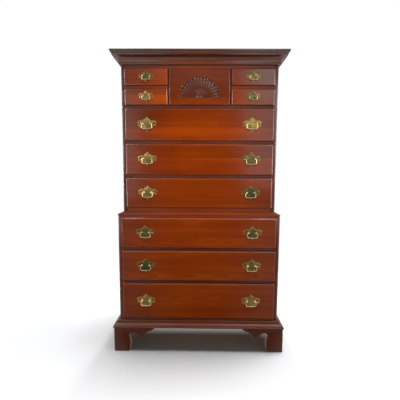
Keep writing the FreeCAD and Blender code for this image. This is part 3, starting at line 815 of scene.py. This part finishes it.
def buildBacks():
    inset, spacing = backs["nailInset"], backs["nailSpacing"]
    sink = caseBack - backs["nailSink"]
    near, far = backs["straggle"]
    cases = (("lower", lowerLow, lowerHigh, lowerInside), ("upper", upperLow, upperHigh, upperInside))
    for label, caseLow, caseHigh, inside in cases:
        edge = inside + caseShape["rebate"] - backs["edgeGap"]
        low, high = (-edge, panelFront, caseLow.z), (edge, caseBack, caseHigh.z)
        boardPiece(label + "_back", low, high, "zxy", "backBoard", "case_backs")
        bm = newMesh()
        wide, tall = edge - inset, caseHigh.z - caseLow.z - 2 * inset
        rows = max(2, round(tall / spacing))
        columns = max(2, round(2 * wide / spacing))
        for index in range(rows + 1):
            z = caseLow.z + inset + tall * index / rows
            for x in (-wide, wide):
                aside = dice.uniform(-near, near) * mm
                along = dice.uniform(-far, far) * mm * (0 < index < rows)
                addNail(bm, x + aside, sink, z + along)
        for index in range(1, columns):
            x = -wide + 2 * wide * index / columns
            for z in (caseLow.z + inset, caseHigh.z - inset):
                along = dice.uniform(-far, far) * mm
                aside = dice.uniform(-near, near) * mm
                addNail(bm, x + along, sink, z + aside)
        addPiece(label + "_back_nails", bm, "case", "nailSteel")


buildBacks()
for node, look in (("drawer_runners", "runnerWood"), ("foot_blocks", "blockWood")):
    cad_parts[node].data.materials.clear()
    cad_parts[node].data.materials.append(finishes[look])
print("case made")


# Drawer fronts: a block in the opening, a lip with a thumbnail edge, and the raised field

fronts = {
    "clearance": 1 * mm, "slideGap": 0.3 * mm, "lipGap": 0.3 * mm, "proud": 9 * mm, "step": 1.2 * mm,
    "thumb": 5.8 * mm, "thumbSteps": 9, "ease": 0.35 * mm, "tailRoom": 0.15 * mm,
    # each board's own tone, and partly painted light: the left small drawers are brightened where the lamp
    # falls off
    "tone": {
        "small_drawer_top_left": 1.18, "small_drawer_low_left": 1.3, "small_drawer_top_right": 0.88,
        "small_drawer_low_right": 0.92, "fan_drawer": 0.74, "upper_drawer_1": 1.15, "upper_drawer_2": 1.08,
        "upper_drawer_3": 0.83, "lower_drawer_1": 0.94, "lower_drawer_2": 0.79, "lower_drawer_3": 0.80,
    },
    # boards glued up for height: where they meet, and how the upper one differs
    "glue": {
        "upper_drawer_1": (-0.014, -0.27), "upper_drawer_2": (0.01, -0.26), "upper_drawer_3": (-0.03, 0.08),
        "small_drawer_low_left": (0.012, -0.2), "fan_drawer": (-0.059, -0.28),
    },
}
keyholes = {
    "radius": 2.6 * mm, "slot": 1.3 * mm, "length": 11 * mm, "depth": 8 * mm, "drop": 30 * mm, "steps": 14,
    "liner": 1.3 * mm, "linerFit": 0.05 * mm, "linerShort": 1 * mm, "proud": 0.35 * mm, "round": 0.25 * mm,
    "roundOut": 0.35 * mm,
}
fan = {
    "radius": 121 * mm, "rise": 39.5 * mm, "petals": 19, "petalSteps": 12, "ridge": 0.9 * mm,
    "dish": 3.2 * mm, "dishPower": 3, "deep": 4.8 * mm, "deepPower": 5, "margin": 2.2 * mm, "lap": 0.3 * mm,
    "inner": 55 * mm, "innerDeep": 0.7 * mm, "innerRound": 0.75, "innerGrow": 0.5, "tipFrom": 0.8,
    "tipDeep": 0.5 * mm, "tipGap": 0.3 * mm, "hub": 12.5 * mm, "hubDeep": 4.6 * mm, "hubTop": 0.4 * mm,
    "hubMoat": 0.35, "polishShade": 0.55, "polishShadeFrom": 0.15 * mm,
    # rings of the mesh: over the hub, along the inner petals, along the flutes
    "hubRings": (0.08, 0.3, 0.5, 0.68, 0.82, 0.92, 0.98, 1.0, 1.03),
    "innerRings": (0.12, 0.24, 0.36, 0.48, 0.6, 0.72, 0.82, 0.9, 0.95, 0.985), "outerRings": 30,
}


def rectangle(low, high, inset, y):
    x0, x1, z0, z1 = low.x + inset, high.x - inset, low.z + inset, high.z - inset
    return [(x0, y, z0), (x1, y, z0), (x1, y, z1), (x0, y, z1)]


def keyholeOutline(z, spread):
    radius, half = keyholes["radius"] + spread, keyholes["slot"] + spread
    foot = z - keyholes["length"] - spread
    start = math.asin(half / radius)
    points = [(-half, foot), (half, foot)]
    for index in range(keyholes["steps"] + 1):
        angle = start + (2 * math.pi - 2 * start) * index / keyholes["steps"]
        points.append((radius * math.sin(angle), z - radius * math.cos(angle)))
    return points


# How far the carving goes into the field at a place on the fan
def fanDepth(radius, angle):
    pitch = math.pi / fan["petals"]
    across = 2 * ((angle / pitch) % 1.0) - 1
    hub, inner = fan["hub"], fan["inner"]
    if radius < hub:
        dome = math.sqrt(max(0.0, 1 - (radius / hub) ** 2))
        return fan["hubDeep"] - (fan["hubDeep"] + fan["hubTop"]) * dome
    if radius < inner:
        swell = (radius - hub) / (inner - hub)
        moat = (fan["hubDeep"] - fan["ridge"]) * max(0.0, 1 - swell / fan["hubMoat"]) ** 2
        tip = max(0.0, (swell - fan["tipFrom"]) / (1 - fan["tipFrom"]))
        hollow = 1 - fan["innerRound"] + fan["innerRound"] * across ** 2
        growth = 1 - fan["innerGrow"] + fan["innerGrow"] * swell
        return fan["ridge"] + moat + fan["innerDeep"] * hollow * growth + fan["tipDeep"] * tip ** 2
    out = radius / fan["radius"]
    ball = fan["radius"] / (1 + math.tan(pitch / 2))
    end = ball * math.tan(pitch / 2)
    dish = fan["dish"] * out ** fan["dishPower"]
    flute = fan["deep"] * out ** fan["deepPower"] * (1 - across ** 2)
    beyond = max(0.0, radius - ball) / end
    # the ridges come up to the field between the tips
    closing = min(1.0, max(0.0, radius - ball + end) / end)
    return (fan["ridge"] + dish + flute) * math.sqrt(max(0.0, 1 - beyond ** 2 - across ** 2 * closing))


def carveFan(bm, centreZ, plane):
    hub, inner, steps = fan["hub"], fan["inner"], fan["outerRings"]
    first, rim = inner + fan["tipGap"], fan["radius"] + fan["margin"]
    radii = [hub * share for share in fan["hubRings"]]
    radii += [hub + (inner - hub) * share for share in fan["innerRings"]]
    radii += [first + (rim - first) * math.sin(turn) for turn in quarterTurns(steps)]
    count = fan["petals"] * fan["petalSteps"]
    rows = []
    for radius in radii:
        row = []
        for index in range(count + 1):
            angle = math.pi * index / count
            x, z = radius * math.cos(angle), centreZ + radius * math.sin(angle)
            row.append(bm.verts.new((x, plane + fanDepth(radius, angle), z)))
        rows.append(row)
    for lower, upper in zip(rows, rows[1:]):
        for index in range(count):
            bm.faces.new((lower[index], upper[index], upper[index + 1], lower[index + 1]))
    bm.faces.new(rows[0])
    # the floor of the carving ends in a small upright wall along its straight side
    right = [bm.verts.new((row[0].co.x, plane, centreZ - fan["lap"])) for row in rows]
    left = [bm.verts.new((row[-1].co.x, plane, centreZ - fan["lap"])) for row in rows]
    for index in range(len(rows) - 1):
        bm.faces.new((right[index], right[index + 1], rows[index + 1][0], rows[index][0]))
        bm.faces.new((rows[index][-1], rows[index + 1][-1], left[index + 1], left[index]))
    bm.faces.new((left[0], right[0], rows[0][0], rows[0][-1]))
    return right + rows[-1] + left[::-1]


# A thin brass liner let into a keyhole
def buildLiner(name, plane, z):
    bm = newMesh()
    wide, rounding = keyholes["liner"], keyholes["round"]
    outer, inner = keyholeOutline(z, wide - keyholes["linerFit"]), keyholeOutline(z, 0.0)
    deep, proud = plane + keyholes["depth"] - keyholes["linerShort"], plane - keyholes["proud"]
    path = [
        (outer, deep), (outer, proud + rounding), (keyholeOutline(z, wide - keyholes["roundOut"]), proud),
        (keyholeOutline(z, rounding), proud), (inner, proud + rounding), (inner, deep),
    ]
    loft(bm, [[(x, y, height) for x, height in outline] for outline, y in path], (False, False))
    addPiece(name + "_keyhole_liner", bm, name, "oldBrass")


def frontRings(low, high, lipBack, topRoom):
    side = lip + fronts["clearance"] + fronts["tailRoom"]
    blockLow = low + Vector((side, 0, lip + fronts["slideGap"]))
    blockHigh = high - Vector((side, 0, topRoom))
    rings = [rectangle(blockLow, blockHigh, 0.0, y) for y in (high.y, lipBack)]
    rings.append(rectangle(low, high, 0.0, lipBack))
    thumb, thumbFront = fronts["thumb"], low.y + fronts["step"]
    for turn in quarterTurns(fronts["thumbSteps"]):
        inset, y = thumb * (1 - math.cos(turn)), thumbFront + thumb * (1 - math.sin(turn))
        rings.append(rectangle(low, high, inset, y))
    rings.append(rectangle(low, high, thumb, low.y + fronts["ease"]))
    rings.append(rectangle(low, high, thumb + fronts["ease"], low.y))
    return rings


def buildFront(name):
    low, high = faceBox[name]
    plane = low.y + fronts["proud"]
    carved, plain = name == "fan_drawer", name in smallNames
    topRoom = fronts["clearance"] + (0.0 if carved else lip)  # the fan drawer has no lip along its top
    bm = newMesh()
    rows = loft(bm, frontRings(low, high, plane - fronts["lipGap"], topRoom), (True, plain))
    fanZ, holeZ = low.z + fan["rise"], high.z - keyholes["drop"]
    if carved:
        fillBetween(bm, rows[-1], carveFan(bm, fanZ, low.y))
    elif not plain:
        hole = keyholeOutline(holeZ, keyholes["liner"])
        rings = [[(x, low.y + depth, z) for x, z in hole] for depth in (0.0, keyholes["depth"])]
        fillBetween(bm, rows[-1], loft(bm, rings, (False, True))[0])
        buildLiner(name, low.y, holeZ)
    paintGrain(bm, list(bm.verts), "xzy", fronts["tone"][name], *fronts["glue"].get(name, (farGlue, 0.0)))
    if carved:  # old polish and painted shade darken the carving
        sunk = [vert for vert in bm.verts if low.y + fan["polishShadeFrom"] < vert.co.y < plane]
        within = [vert for vert in sunk if math.hypot(vert.co.x, vert.co.z - fanZ) < fan["radius"]]
        tintBoard(bm, within, fan["polishShade"])
    addPiece(name + "_front_board", bm, name, "drawerCherry", (name + "_front",))


for name in drawerNames:
    buildFront(name)
print("drawer fronts made")


# Drawer boxes: sides dovetailed into the front, a back, and a bottom in grooves

boxes = {
    "side": 12 * mm, "back": 12 * mm, "bottom": 6 * mm, "rise": 9 * mm, "groove": 5 * mm, "backGap": 0.2 * mm,
    "tail": 9 * mm, "tailPitch": 36 * mm, "tailWide": 0.66, "tailNarrow": 0.44, "ease": 0.8 * mm,
    "bottomEase": 0.4 * mm, "bottomGlue": 0.04, "sideTone": (0.94, 1.04), "tone": (0.9, 1.0),
}


def sideOutline(front, rear, bottom, top):
    count = max(2, round((top - bottom) / boxes["tailPitch"]))
    pitch = (top - bottom) / count
    narrow, wide = pitch * boxes["tailNarrow"] / 2, pitch * boxes["tailWide"] / 2
    tip = front - boxes["tail"]
    points = [(rear, bottom), (rear, top), (front, top)]
    for index in reversed(range(count)):
        middle = bottom + (index + 0.5) * pitch
        points += [(front, middle + narrow), (tip, middle + wide)]
        points += [(tip, middle - wide), (front, middle - narrow)]
    return points + [(front, bottom)]


def buildBox(name):
    low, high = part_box(name + "_box")
    side, tones = boxes["side"], boxes["tone"]
    bm = newMesh()
    outline = sideOutline(faceBox[name][1].y, high.y, low.z, high.z)
    for inner, outer in ((low.x + side, low.x), (high.x - side, high.x)):
        rows = loft(bm, [[(x, y, z) for y, z in outline] for x in (inner, outer)])
        paintGrain(bm, sum(rows, []), "yzx", dice.uniform(*boxes["sideTone"]))
    panelLow = low.z + boxes["rise"]
    panelHigh = panelLow + boxes["bottom"]
    backLow = Vector((low.x + side, high.y - boxes["back"], panelHigh + boxes["backGap"]))
    backHigh = Vector((high.x - side, high.y, high.z))
    addBoard(bm, backLow, backHigh, "xzy", dice.uniform(*tones), farGlue, boxes["ease"])
    inset = side - boxes["groove"]
    bottomLow = Vector((low.x + inset, low.y, panelLow))
    bottomHigh = Vector((high.x - inset, high.y, panelHigh))
    order = "yxz" if name in wideNames else "xyz"
    addBoard(bm, bottomLow, bottomHigh, order, dice.uniform(*tones), boxes["bottomGlue"], boxes["bottomEase"])
    addPiece(name + "_box_boards", bm, name, "paleDrawerWood", (name + "_box",))


for name in drawerNames:
    buildBox(name)
print("drawer boxes made")


# Bail pulls: a bevelled and pierced plate, two turned posts with nuts inside, and the loop that hangs there

pulls = {
    "smallShare": 0.75, "spacing": 45 * mm, "reach": 12 * mm,
    "plateWide": 113 * mm, "plateTall": 86 * mm, "plateThick": 1.8 * mm, "bevel": 2.4 * mm,
    "bevelDrop": 1.1 * mm, "eye": 6.2 * mm, "eyeBevel": 1.0 * mm, "eyePlace": (0.76, 0.03), "eyeSides": 18,
    "outlineSteps": 6,
    # the plate's right half from top to bottom, in shares of half its width and of its height
    "outline": (
        ((0.0, 0.49),), ((0.10, 0.40), (0.21, 0.35)), ((0.33, 0.29), (0.32, 0.20)),
        ((0.48, 0.25), (0.67, 0.235)), ((0.89, 0.19), (1.0, 0.07)), ((0.92, 0.02), (0.89, -0.035)),
        ((0.935, -0.095), (0.885, -0.15)),
        ((0.74, -0.165), (0.60, -0.235)), ((0.50, -0.325), (0.30, -0.36)), ((0.12, -0.40), (0.0, -0.51)),
    ),
    # turned post: share of its reach, radius in millimetres
    "post": (
        (0.0, 6.0), (0.05, 6.0), (0.12, 5.6), (0.17, 4.4), (0.25, 3.3), (0.40, 2.7), (0.55, 2.7), (0.66, 3.1),
        (0.70, 3.5),
    ),
    "postSides": 20, "head": 4 * mm, "headSteps": 8, "headFrom": -5,
    "shank": 2 * mm, "shankSides": 12, "tail": 8 * mm, "tailTaper": 0.6 * mm, "tailTip": 0.6,
    "nut": 5 * mm, "nutThick": 3.5 * mm, "nutSides": 6, "nutShoulder": 0.82, "nutTop": 0.86,
    "washer": 7 * mm, "washerThick": 0.9 * mm, "washerShoulder": 0.7, "washerRound": 0.4 * mm,
    "bail": 2.2 * mm, "bailSwell": 2.7 * mm, "swellReach": 0.75, "drop": 29 * mm, "turn": 2.8 * mm,
    "corner": 9 * mm, "shoulder": 0.4 * mm, "seated": 0.9, "bailSides": 14, "bailSteps": 7,
    "bailSmooth": 40.0,
    # how tarnished and how green each pull is, left before right; the values are partly tarnish and partly
    # painted reflection, darker where a plate mirrors dark surroundings
    "age": {
        "small_drawer_top_left": ((0.45, 0.8),), "small_drawer_top_right": ((0.35, 0.8),),
        "small_drawer_low_left": ((0.2, 0.5),), "small_drawer_low_right": ((0.5, 0.9),),
        "upper_drawer_1": ((0.1, 0.4), (0.1, 0.4)), "upper_drawer_2": ((0.0, 0.3), (0.5, 0.7)),
        "upper_drawer_3": ((0.15, 0.4), (0.65, 1.0)), "lower_drawer_1": ((0.5, 0.9), (0.5, 0.8)),
        "lower_drawer_2": ((0.65, 1.0), (0.4, 0.7)), "lower_drawer_3": ((0.15, 0.1), (0.1, 0.1)),
    },
    "handled": 0.35,  # posts and bails are this share as tarnished as their plate
}


def paintAgeAndReflection(bm, name, handled=1.0):
    drawer, _, side = name.partition("_pull")
    tarnish, green = pulls["age"][drawer][-1 if side == "_right" else 0]
    paintGrain(bm, list(bm.verts), "xzy", tarnish * handled, green)


# The outline moved inwards, along the halfway direction at each corner
def shrink(outline, amount):
    moved = []
    count = len(outline)
    for index, here in enumerate(Vector(point) for point in outline):
        before, after = Vector(outline[index - 1]), Vector(outline[(index + 1) % count])
        a, b = (here - before).normalized(), (after - here).normalized()
        normal = Vector((-(a + b).y, (a + b).x)).normalized()
        lean = max(0.5, normal.dot(Vector((-a.y, a.x))))
        moved.append(here + normal * amount / lean)
    return [(point.x, point.y) for point in moved]


def plateOutline(share):
    wide, tall = pulls["plateWide"] / 2 * share, pulls["plateTall"] * share
    right = traceShares(
        pulls["outline"], lambda across, up: (across * wide, up * tall), pulls["outlineSteps"])
    left = [(-x, z) for x, z in right[1:-1]]
    return (right + left[::-1])[::-1]  # anticlockwise seen from the front


def buildPlate(name, drawer, centre, plane, share, node):
    bm = newMesh()
    outline = plateOutline(share)
    front = plane - pulls["plateThick"]
    edge = front + pulls["bevelDrop"]

    def at(points, y):
        return [(centre.x + x, y, centre.z + z) for x, z in points]

    face = shrink(outline, pulls["bevel"] * share)
    rows = loft(bm, [at(outline, plane), at(outline, edge), at(face, front)], (False, False))
    eyeX = pulls["eyePlace"][0] * pulls["plateWide"] / 2 * share
    eyeZ = centre.z + pulls["eyePlace"][1] * pulls["plateTall"] * share
    wide, narrow = (pulls["eye"] + pulls["eyeBevel"]) * share, pulls["eye"] * share
    eyes = []
    for sign in (-1, 1):
        rims = ((wide, front), (narrow, edge), (narrow, plane))
        rings = [circle(centre.x + sign * eyeX, eyeZ, r, pulls["eyeSides"], y) for r, y in rims]
        eyes.append(loft(bm, rings, (False, False)))
    fillBetween(bm, rows[-1], *[eye[0] for eye in eyes])
    fillBetween(bm, rows[0], *[eye[-1] for eye in eyes])
    paintAgeAndReflection(bm, name)
    addPiece(name + "_plate", bm, drawer, "plateBrass", (node,))


def buildPosts(name, drawer, centre, plane, inside, share, node):
    bm = newMesh()
    sides, shank, nut, washer = pulls["postSides"], pulls["shank"], pulls["nut"], pulls["washer"]
    seat, headY, ball = plane - pulls["plateThick"], plane - pulls["reach"] * share, pulls["head"] * share
    length = pulls["reach"] * share - pulls["plateThick"]
    nutFoot, tailEnd = inside + pulls["washerThick"], inside + pulls["tail"]
    for sign in (-1, 1):
        spot = centre + Vector((sign * pulls["spacing"] * share / 2, 0, 0))
        x, z = spot.x, spot.z
        rings = [circle(x, z, r * mm * share, sides, seat - along * length) for along, r in pulls["post"]]
        for step in range(pulls["headFrom"], pulls["headSteps"]):
            turn = math.pi / 2 * step / pulls["headSteps"]
            rings.append(circle(x, z, ball * math.cos(turn), sides, headY - ball * math.sin(turn)))
        loft(bm, rings)
        shape = (
            (washer, 0.0), (washer, pulls["washerShoulder"]),
            (washer - pulls["washerRound"], 1.0), (shank, 1.0),
        )
        loft(bm, [circle(x, z, r, sides, inside + up * pulls["washerThick"]) for r, up in shape])
        twist = dice.uniform(0, 1)
        shape = ((nut, 0.0), (nut, pulls["nutShoulder"]), (nut * pulls["nutTop"], 1.0), (shank, 1.0))
        thick = pulls["nutThick"]
        loft(bm, [circle(x, z, r, pulls["nutSides"], nutFoot + up * thick, twist) for r, up in shape])
        screw = ((1.0, nutFoot), (1.0, tailEnd - pulls["tailTaper"]), (pulls["tailTip"], tailEnd))
        loft(bm, [circle(x, z, shank * r, pulls["shankSides"], y) for r, y in screw])
    paintAgeAndReflection(bm, name, pulls["handled"])
    addPiece(name + "_posts", bm, drawer, "bailBrass", (node,))


def bailPath(share):
    post, head = pulls["spacing"] * share / 2, pulls["head"] * share
    turn, corner, drop = pulls["turn"] * share, pulls["corner"] * share, pulls["drop"] * share
    shoulder = post + head + pulls["shoulder"]
    arm = shoulder + turn
    angles = quarterTurns(pulls["bailSteps"])[1:]
    points = [(post - head * pulls["seated"], 0.0), (shoulder, 0.0)]
    points += [(shoulder + turn * math.sin(t), -turn * (1 - math.cos(t))) for t in angles]
    points += [(arm, -turn - (drop - turn - corner) * part) for part in (0.35, 0.7, 1.0)]
    points += [(arm - corner * (1 - math.cos(t)), corner - drop - corner * math.sin(t)) for t in angles]
    points += [((arm - corner) * part, -drop) for part in (0.75, 0.5, 0.25)]
    return points + [(0.0, -drop)] + [(-x, z) for x, z in points[::-1]]


def buildBail(node, centre, axisY, share):
    bm = newMesh()
    path = [Vector((x, 0, z)) for x, z in bailPath(share)]
    deepest, reach = pulls["drop"] * share, pulls["spacing"] * share * pulls["swellReach"]
    side = Vector((0, 1, 0))
    rings = []
    for index, point in enumerate(path):
        along = (path[min(index + 1, len(path) - 1)] - path[max(index - 1, 0)]).normalized()
        up = along.cross(side)
        swell = (max(0.0, -point.z) / deepest) ** 2 * max(0.0, 1 - abs(point.x) / reach) ** 0.5
        radius = (pulls["bail"] + (pulls["bailSwell"] - pulls["bail"]) * swell) * share
        ring = []
        for corner in range(pulls["bailSides"]):
            angle = 2 * math.pi * corner / pulls["bailSides"]
            spot = point + side * radius * math.cos(angle) + up * radius * math.sin(angle)
            ring.append((centre.x + spot.x, axisY + spot.y, centre.z + spot.z))
        rings.append(ring)
    loft(bm, rings)
    paintAgeAndReflection(bm, node.replace("_bail", "_pull"), pulls["handled"])
    addPiece(node + "_loop", bm, node, "bailBrass", (node,), pulls["bailSmooth"])


for name in wideNames + smallNames:
    small = name in smallNames
    share = pulls["smallShare"] if small else 1.0
    low, high = faceBox[name]
    for node in [name + "_bail" + end for end in (("",) if small else ("_left", "_right"))]:
        bailLow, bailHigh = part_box(node)
        centre = Vector(((bailLow.x + bailHigh.x) / 2, 0, bailHigh.z - pulls["bail"] * share))
        label = node.replace("_bail", "_pull")
        buildPlate(label, name, centre, low.y, share, name + "_pull_mounts")
        buildPosts(label, name, centre, low.y, high.y, share, name + "_pull_mounts")
        buildBail(node, centre, low.y - pulls["reach"] * share, share)
print("pulls made")


# Studio: pale floor, white room, soft lamps, and a camera where the photographer stood

studio = {
    "floorSize": 14.0, "floorDrop": 0.5 * mm, "floorColour": (0.785, 0.80, 0.81, 1.0),
    "bounceColour": (0.22, 0.22, 0.22, 1.0), "clearFrom": 0.9, "clearTo": 2.2, "ambient": 0.11,
    # what shines sees a dim room in front, bright sides, sky and floor; spans are shares of a direction
    "frontSpan": (-0.99, -0.88), "frontGlow": 0.01, "sideGlow": 0.95, "skySpan": (0.29, 0.40), "skyGlow": 1.0,
    "zenithSpan": (0.44, 0.64), "zenith": 0.25, "belowSpan": (-0.62, -0.85), "belowGlow": 0.75,
    "rightSpan": (0.1, 0.3), "lowSpan": (0.0, -0.15), "lowRight": 0.5,
    "sunFar": 4,
    "suns": {
        "floorSun": {"from": (0.03, 0.08, 1.0), "angle": 23.0, "strength": 2.8, "lights": "onlyFloor"},
        "sideSun": {"from": (0.44, 0.13, 1.0), "angle": 30.0, "strength": 1.4, "lights": "onlyFloor"},
        "roofLight": {"from": (0.10, 0.05, 1.0), "angle": 40.0, "strength": 1.6, "lights": "offFloor"},
    },
    # areas have a size, spots a cone and a radius; a mirrored lamp has a twin on the left,
    # and a lamp without a stated use lights the chest alone
    "lamps": {
        "rightBox": {"place": (1.10, -2.35, 1.85), "aim": (0.15, 0.0, 1.25), "size": (1.05, 1.9),
                     "power": 8.0},
        "leftBox": {"place": (-1.40, -2.35, 1.5), "aim": (-0.2, 0.0, 1.25), "size": (1.05, 1.5),
                    "power": 5.6},
        "rightTop": {"place": (1.05, -2.35, 2.45), "aim": (0.3, -0.23, 1.6), "size": (0.6, 0.6),
                     "power": 1.2},
        "rightGleam": {"place": (2.2, -0.44, 1.4), "aim": (0.0, -0.3, 1.1), "size": (0.3, 1.9),
                       "power": 100.0, "spread": "gloss", "mirrored": True},
        "rightHigh": {"place": (1.13, -0.62, 3.0), "aim": (0.45, -0.26, 0.8), "size": (0.14, 0.7),
                      "power": 16.0, "spread": "gloss", "mirrored": True},
        "rightFill": {"place": (2.4, 0.15, 1.4), "aim": (0.0, 0.15, 0.9), "size": (1.0, 1.8),
                      "power": 18.0, "spread": "matt", "mirrored": True},
        "rearFill": {"place": (0.0, 2.6, 1.5), "aim": (0.0, 0.2, 0.9), "size": (1.8, 1.8),
                     "power": 26.0, "spread": "matt"},
        "keySpot": {"place": (0.0, -2.1, 2.6), "aim": (0.0, -0.24, 1.0), "cone": 52.0, "radius": 0.12,
                    "narrow": 0.5, "power": 202.0, "spread": "matt"},
        "sweepGlow": {"place": (0.0, 2.4, 1.2), "aim": (0.0, 0.0, 0.0), "cone": 30.0, "radius": 0.15,
                      "narrow": 1.6, "power": 230.0, "spread": "matt", "lights": "onlyFloor"},
    },
}
cameraFit = {
    "place": (19.4 * mm, -1825.7 * mm, 1077.2 * mm), "yaw": 0.473, "pitch": 5.24, "roll": 0.303, "lens": 24.3,
    "sensor": 36.0,
}


def buildFloor():
    half, drop = studio["floorSize"] / 2, studio["floorDrop"]
    corners = [(x * half, y * half, -drop) for x, y in ((-1, -1), (1, -1), (1, 1), (-1, 1))]
    mesh = bpy.data.meshes.new("paleFloor")
    mesh.from_pydata(corners, [], [(0, 1, 2, 3)])
    floor = bpy.data.objects.new("paleFloor", mesh)
    scene.collection.objects.link(floor)
    material = bpy.data.materials.new("paleFloor")
    material.use_nodes = True
    tree = material.node_tree
    tree.nodes.clear()
    out = addNode(tree, "OutputMaterial")
    pale = addNode(tree, "BsdfDiffuse", {"Color": studio["floorColour"]}).outputs[0]
    bounce = addNode(tree, "BsdfDiffuse", {"Color": studio["bounceColour"]}).outputs[0]
    white = addNode(tree, "Emission", {"Color": (1, 1, 1, 1), "Strength": 1.0}).outputs[0]
    place = addNode(tree, "TexCoord").outputs["Object"]
    away = addNode(tree, "VectorMath", {0: place}, operation="LENGTH").outputs["Value"]
    feeds = {"Value": away, "From Min": studio["clearFrom"], "From Max": studio["clearTo"]}
    clear = addNode(tree, "MapRange", feeds, interpolation_type="SMOOTHSTEP").outputs[0]
    seen = addNode(tree, "MixShader", {0: clear, 1: pale, 2: white}).outputs[0]
    rays = addNode(tree, "LightPath").outputs
    direct = calc(tree, "MAXIMUM", rays["Is Camera Ray"], rays["Is Transmission Ray"])
    feed(tree, addNode(tree, "MixShader", {0: direct, 1: bounce, 2: seen}).outputs[0], out.inputs[0])
    floor.visible_glossy = False  # what shines shows the room below as well as around it
    mesh.materials.append(material)
    return floor


def buildRoom():
    world = bpy.data.worlds.new("whiteRoom")
    scene.world = world
    world.use_nodes = True
    tree = world.node_tree
    tree.nodes.clear()
    out = addNode(tree, "OutputWorld")
    rays = addNode(tree, "LightPath").outputs
    way = addNode(tree, "TexCoord").outputs["Generated"]
    aside, _, rise = split(tree, way)
    level = addNode(tree, "VectorMath", {0: way, 1: (1.0, 1.0, 0.0)}, operation="MULTIPLY").outputs[0]
    heading = addNode(tree, "VectorMath", {0: level}, operation="NORMALIZE").outputs[0]
    ahead = split(tree, heading)[1]
    around = ramp(tree, ahead, studio["frontSpan"], (studio["frontGlow"], studio["sideGlow"]))
    sky = ramp(tree, rise, studio["skySpan"], (0.0, studio["skyGlow"]))
    zenith = ramp(tree, rise, studio["zenithSpan"], (1.0, studio["zenith"]))
    below = ramp(tree, rise, studio["belowSpan"], (0.0, studio["belowGlow"]))
    right = ramp(tree, aside, studio["rightSpan"], (0.0, studio["lowRight"]))
    corner = times(tree, right, ramp(tree, rise, studio["lowSpan"]))
    glow = times(tree, calc(tree, "MAXIMUM", around, sky), zenith)
    glow = calc(tree, "MAXIMUM", calc(tree, "MAXIMUM", glow, below), corner)
    mirrored = calc(tree, "MAXIMUM", rays["Is Glossy Ray"], rays["Is Transmission Ray"])
    soft = times(tree, calc(tree, "SUBTRACT", 1.0, mirrored), studio["ambient"])
    strength = calc(tree, "ADD", soft, times(tree, mirrored, glow))
    strength = calc(tree, "MAXIMUM", strength, rays["Is Camera Ray"])
    background = addNode(tree, "Background", {"Color": (1, 1, 1, 1), "Strength": strength}).outputs[0]
    feed(tree, background, out.inputs[0])


def aimLamp(name, light, place, toward):
    lamp = bpy.data.objects.new(name, light)
    lamp.location = place
    lamp.rotation_euler = (Vector(toward) - Vector(place)).to_track_quat("-Z", "Y").to_euler()
    lamp.visible_camera = False
    scene.collection.objects.link(lamp)
    return lamp


def addLamp(name, values, sign, reach):
    light = bpy.data.lights.new(name, "AREA" if "size" in values else "SPOT")
    light.energy = values["power"]
    place, aim = ((sign * x, y, z) for x, y, z in (values["place"], values["aim"]))
    lamp = aimLamp(name, light, place, aim)
    if "size" in values:
        light.shape = "RECTANGLE"
        light.size, light.size_y = values["size"]
    else:
        light.spot_size, light.spot_blend = math.radians(values["cone"]), 1.0
        light.shadow_soft_size = values["radius"]
        lamp.scale.x = values["narrow"]
    lamp.visible_glossy = values.get("spread") != "matt"
    lamp.visible_diffuse = values.get("spread") != "gloss"
    lamp.light_linking.receiver_collection = reach[values.get("lights", "offFloor")]


def buildLamps(floor):
    reach = {}
    for name, state in (("offFloor", "EXCLUDE"), ("onlyFloor", "INCLUDE")):
        reach[name] = bpy.data.collections.new(name)
        reach[name].objects.link(floor)
        reach[name].collection_objects[0].light_linking.link_state = state
    for name, values in studio["lamps"].items():
        addLamp(name, values, 1, reach)
        if values.get("mirrored"):
            addLamp(name.replace("right", "left"), values, -1, reach)
    for name, values in studio["suns"].items():
        light = bpy.data.lights.new(name, "SUN")
        light.energy, light.angle = values["strength"], math.radians(values["angle"])
        lamp = aimLamp(name, light, Vector(values["from"]) * studio["sunFar"], (0.0, 0.0, 0.0))
        lamp.light_linking.receiver_collection = reach[values["lights"]]


def buildCamera():
    yaw, pitch, roll = (math.radians(cameraFit[key]) for key in ("yaw", "pitch", "roll"))
    ahead = Vector((-math.sin(yaw) * math.cos(pitch), math.cos(yaw) * math.cos(pitch), -math.sin(pitch)))
    right = Vector((math.cos(yaw), math.sin(yaw), 0))
    up = right.cross(ahead)
    turnedRight = right * math.cos(roll) + up * math.sin(roll)
    turnedUp = up * math.cos(roll) - right * math.sin(roll)
    data = bpy.data.cameras.new("photographer")
    data.lens, data.sensor_width = cameraFit["lens"], cameraFit["sensor"]
    camera = bpy.data.objects.new("photographer", data)
    turn = Matrix((turnedRight, turnedUp, -ahead)).transposed()
    camera.matrix_world = Matrix.Translation(cameraFit["place"]) @ turn.to_4x4()
    scene.collection.objects.link(camera)
    scene.camera = camera


floor = buildFloor()
buildRoom()
buildLamps(floor)
buildCamera()
scene.view_settings.view_transform = "Standard"
print("studio made")
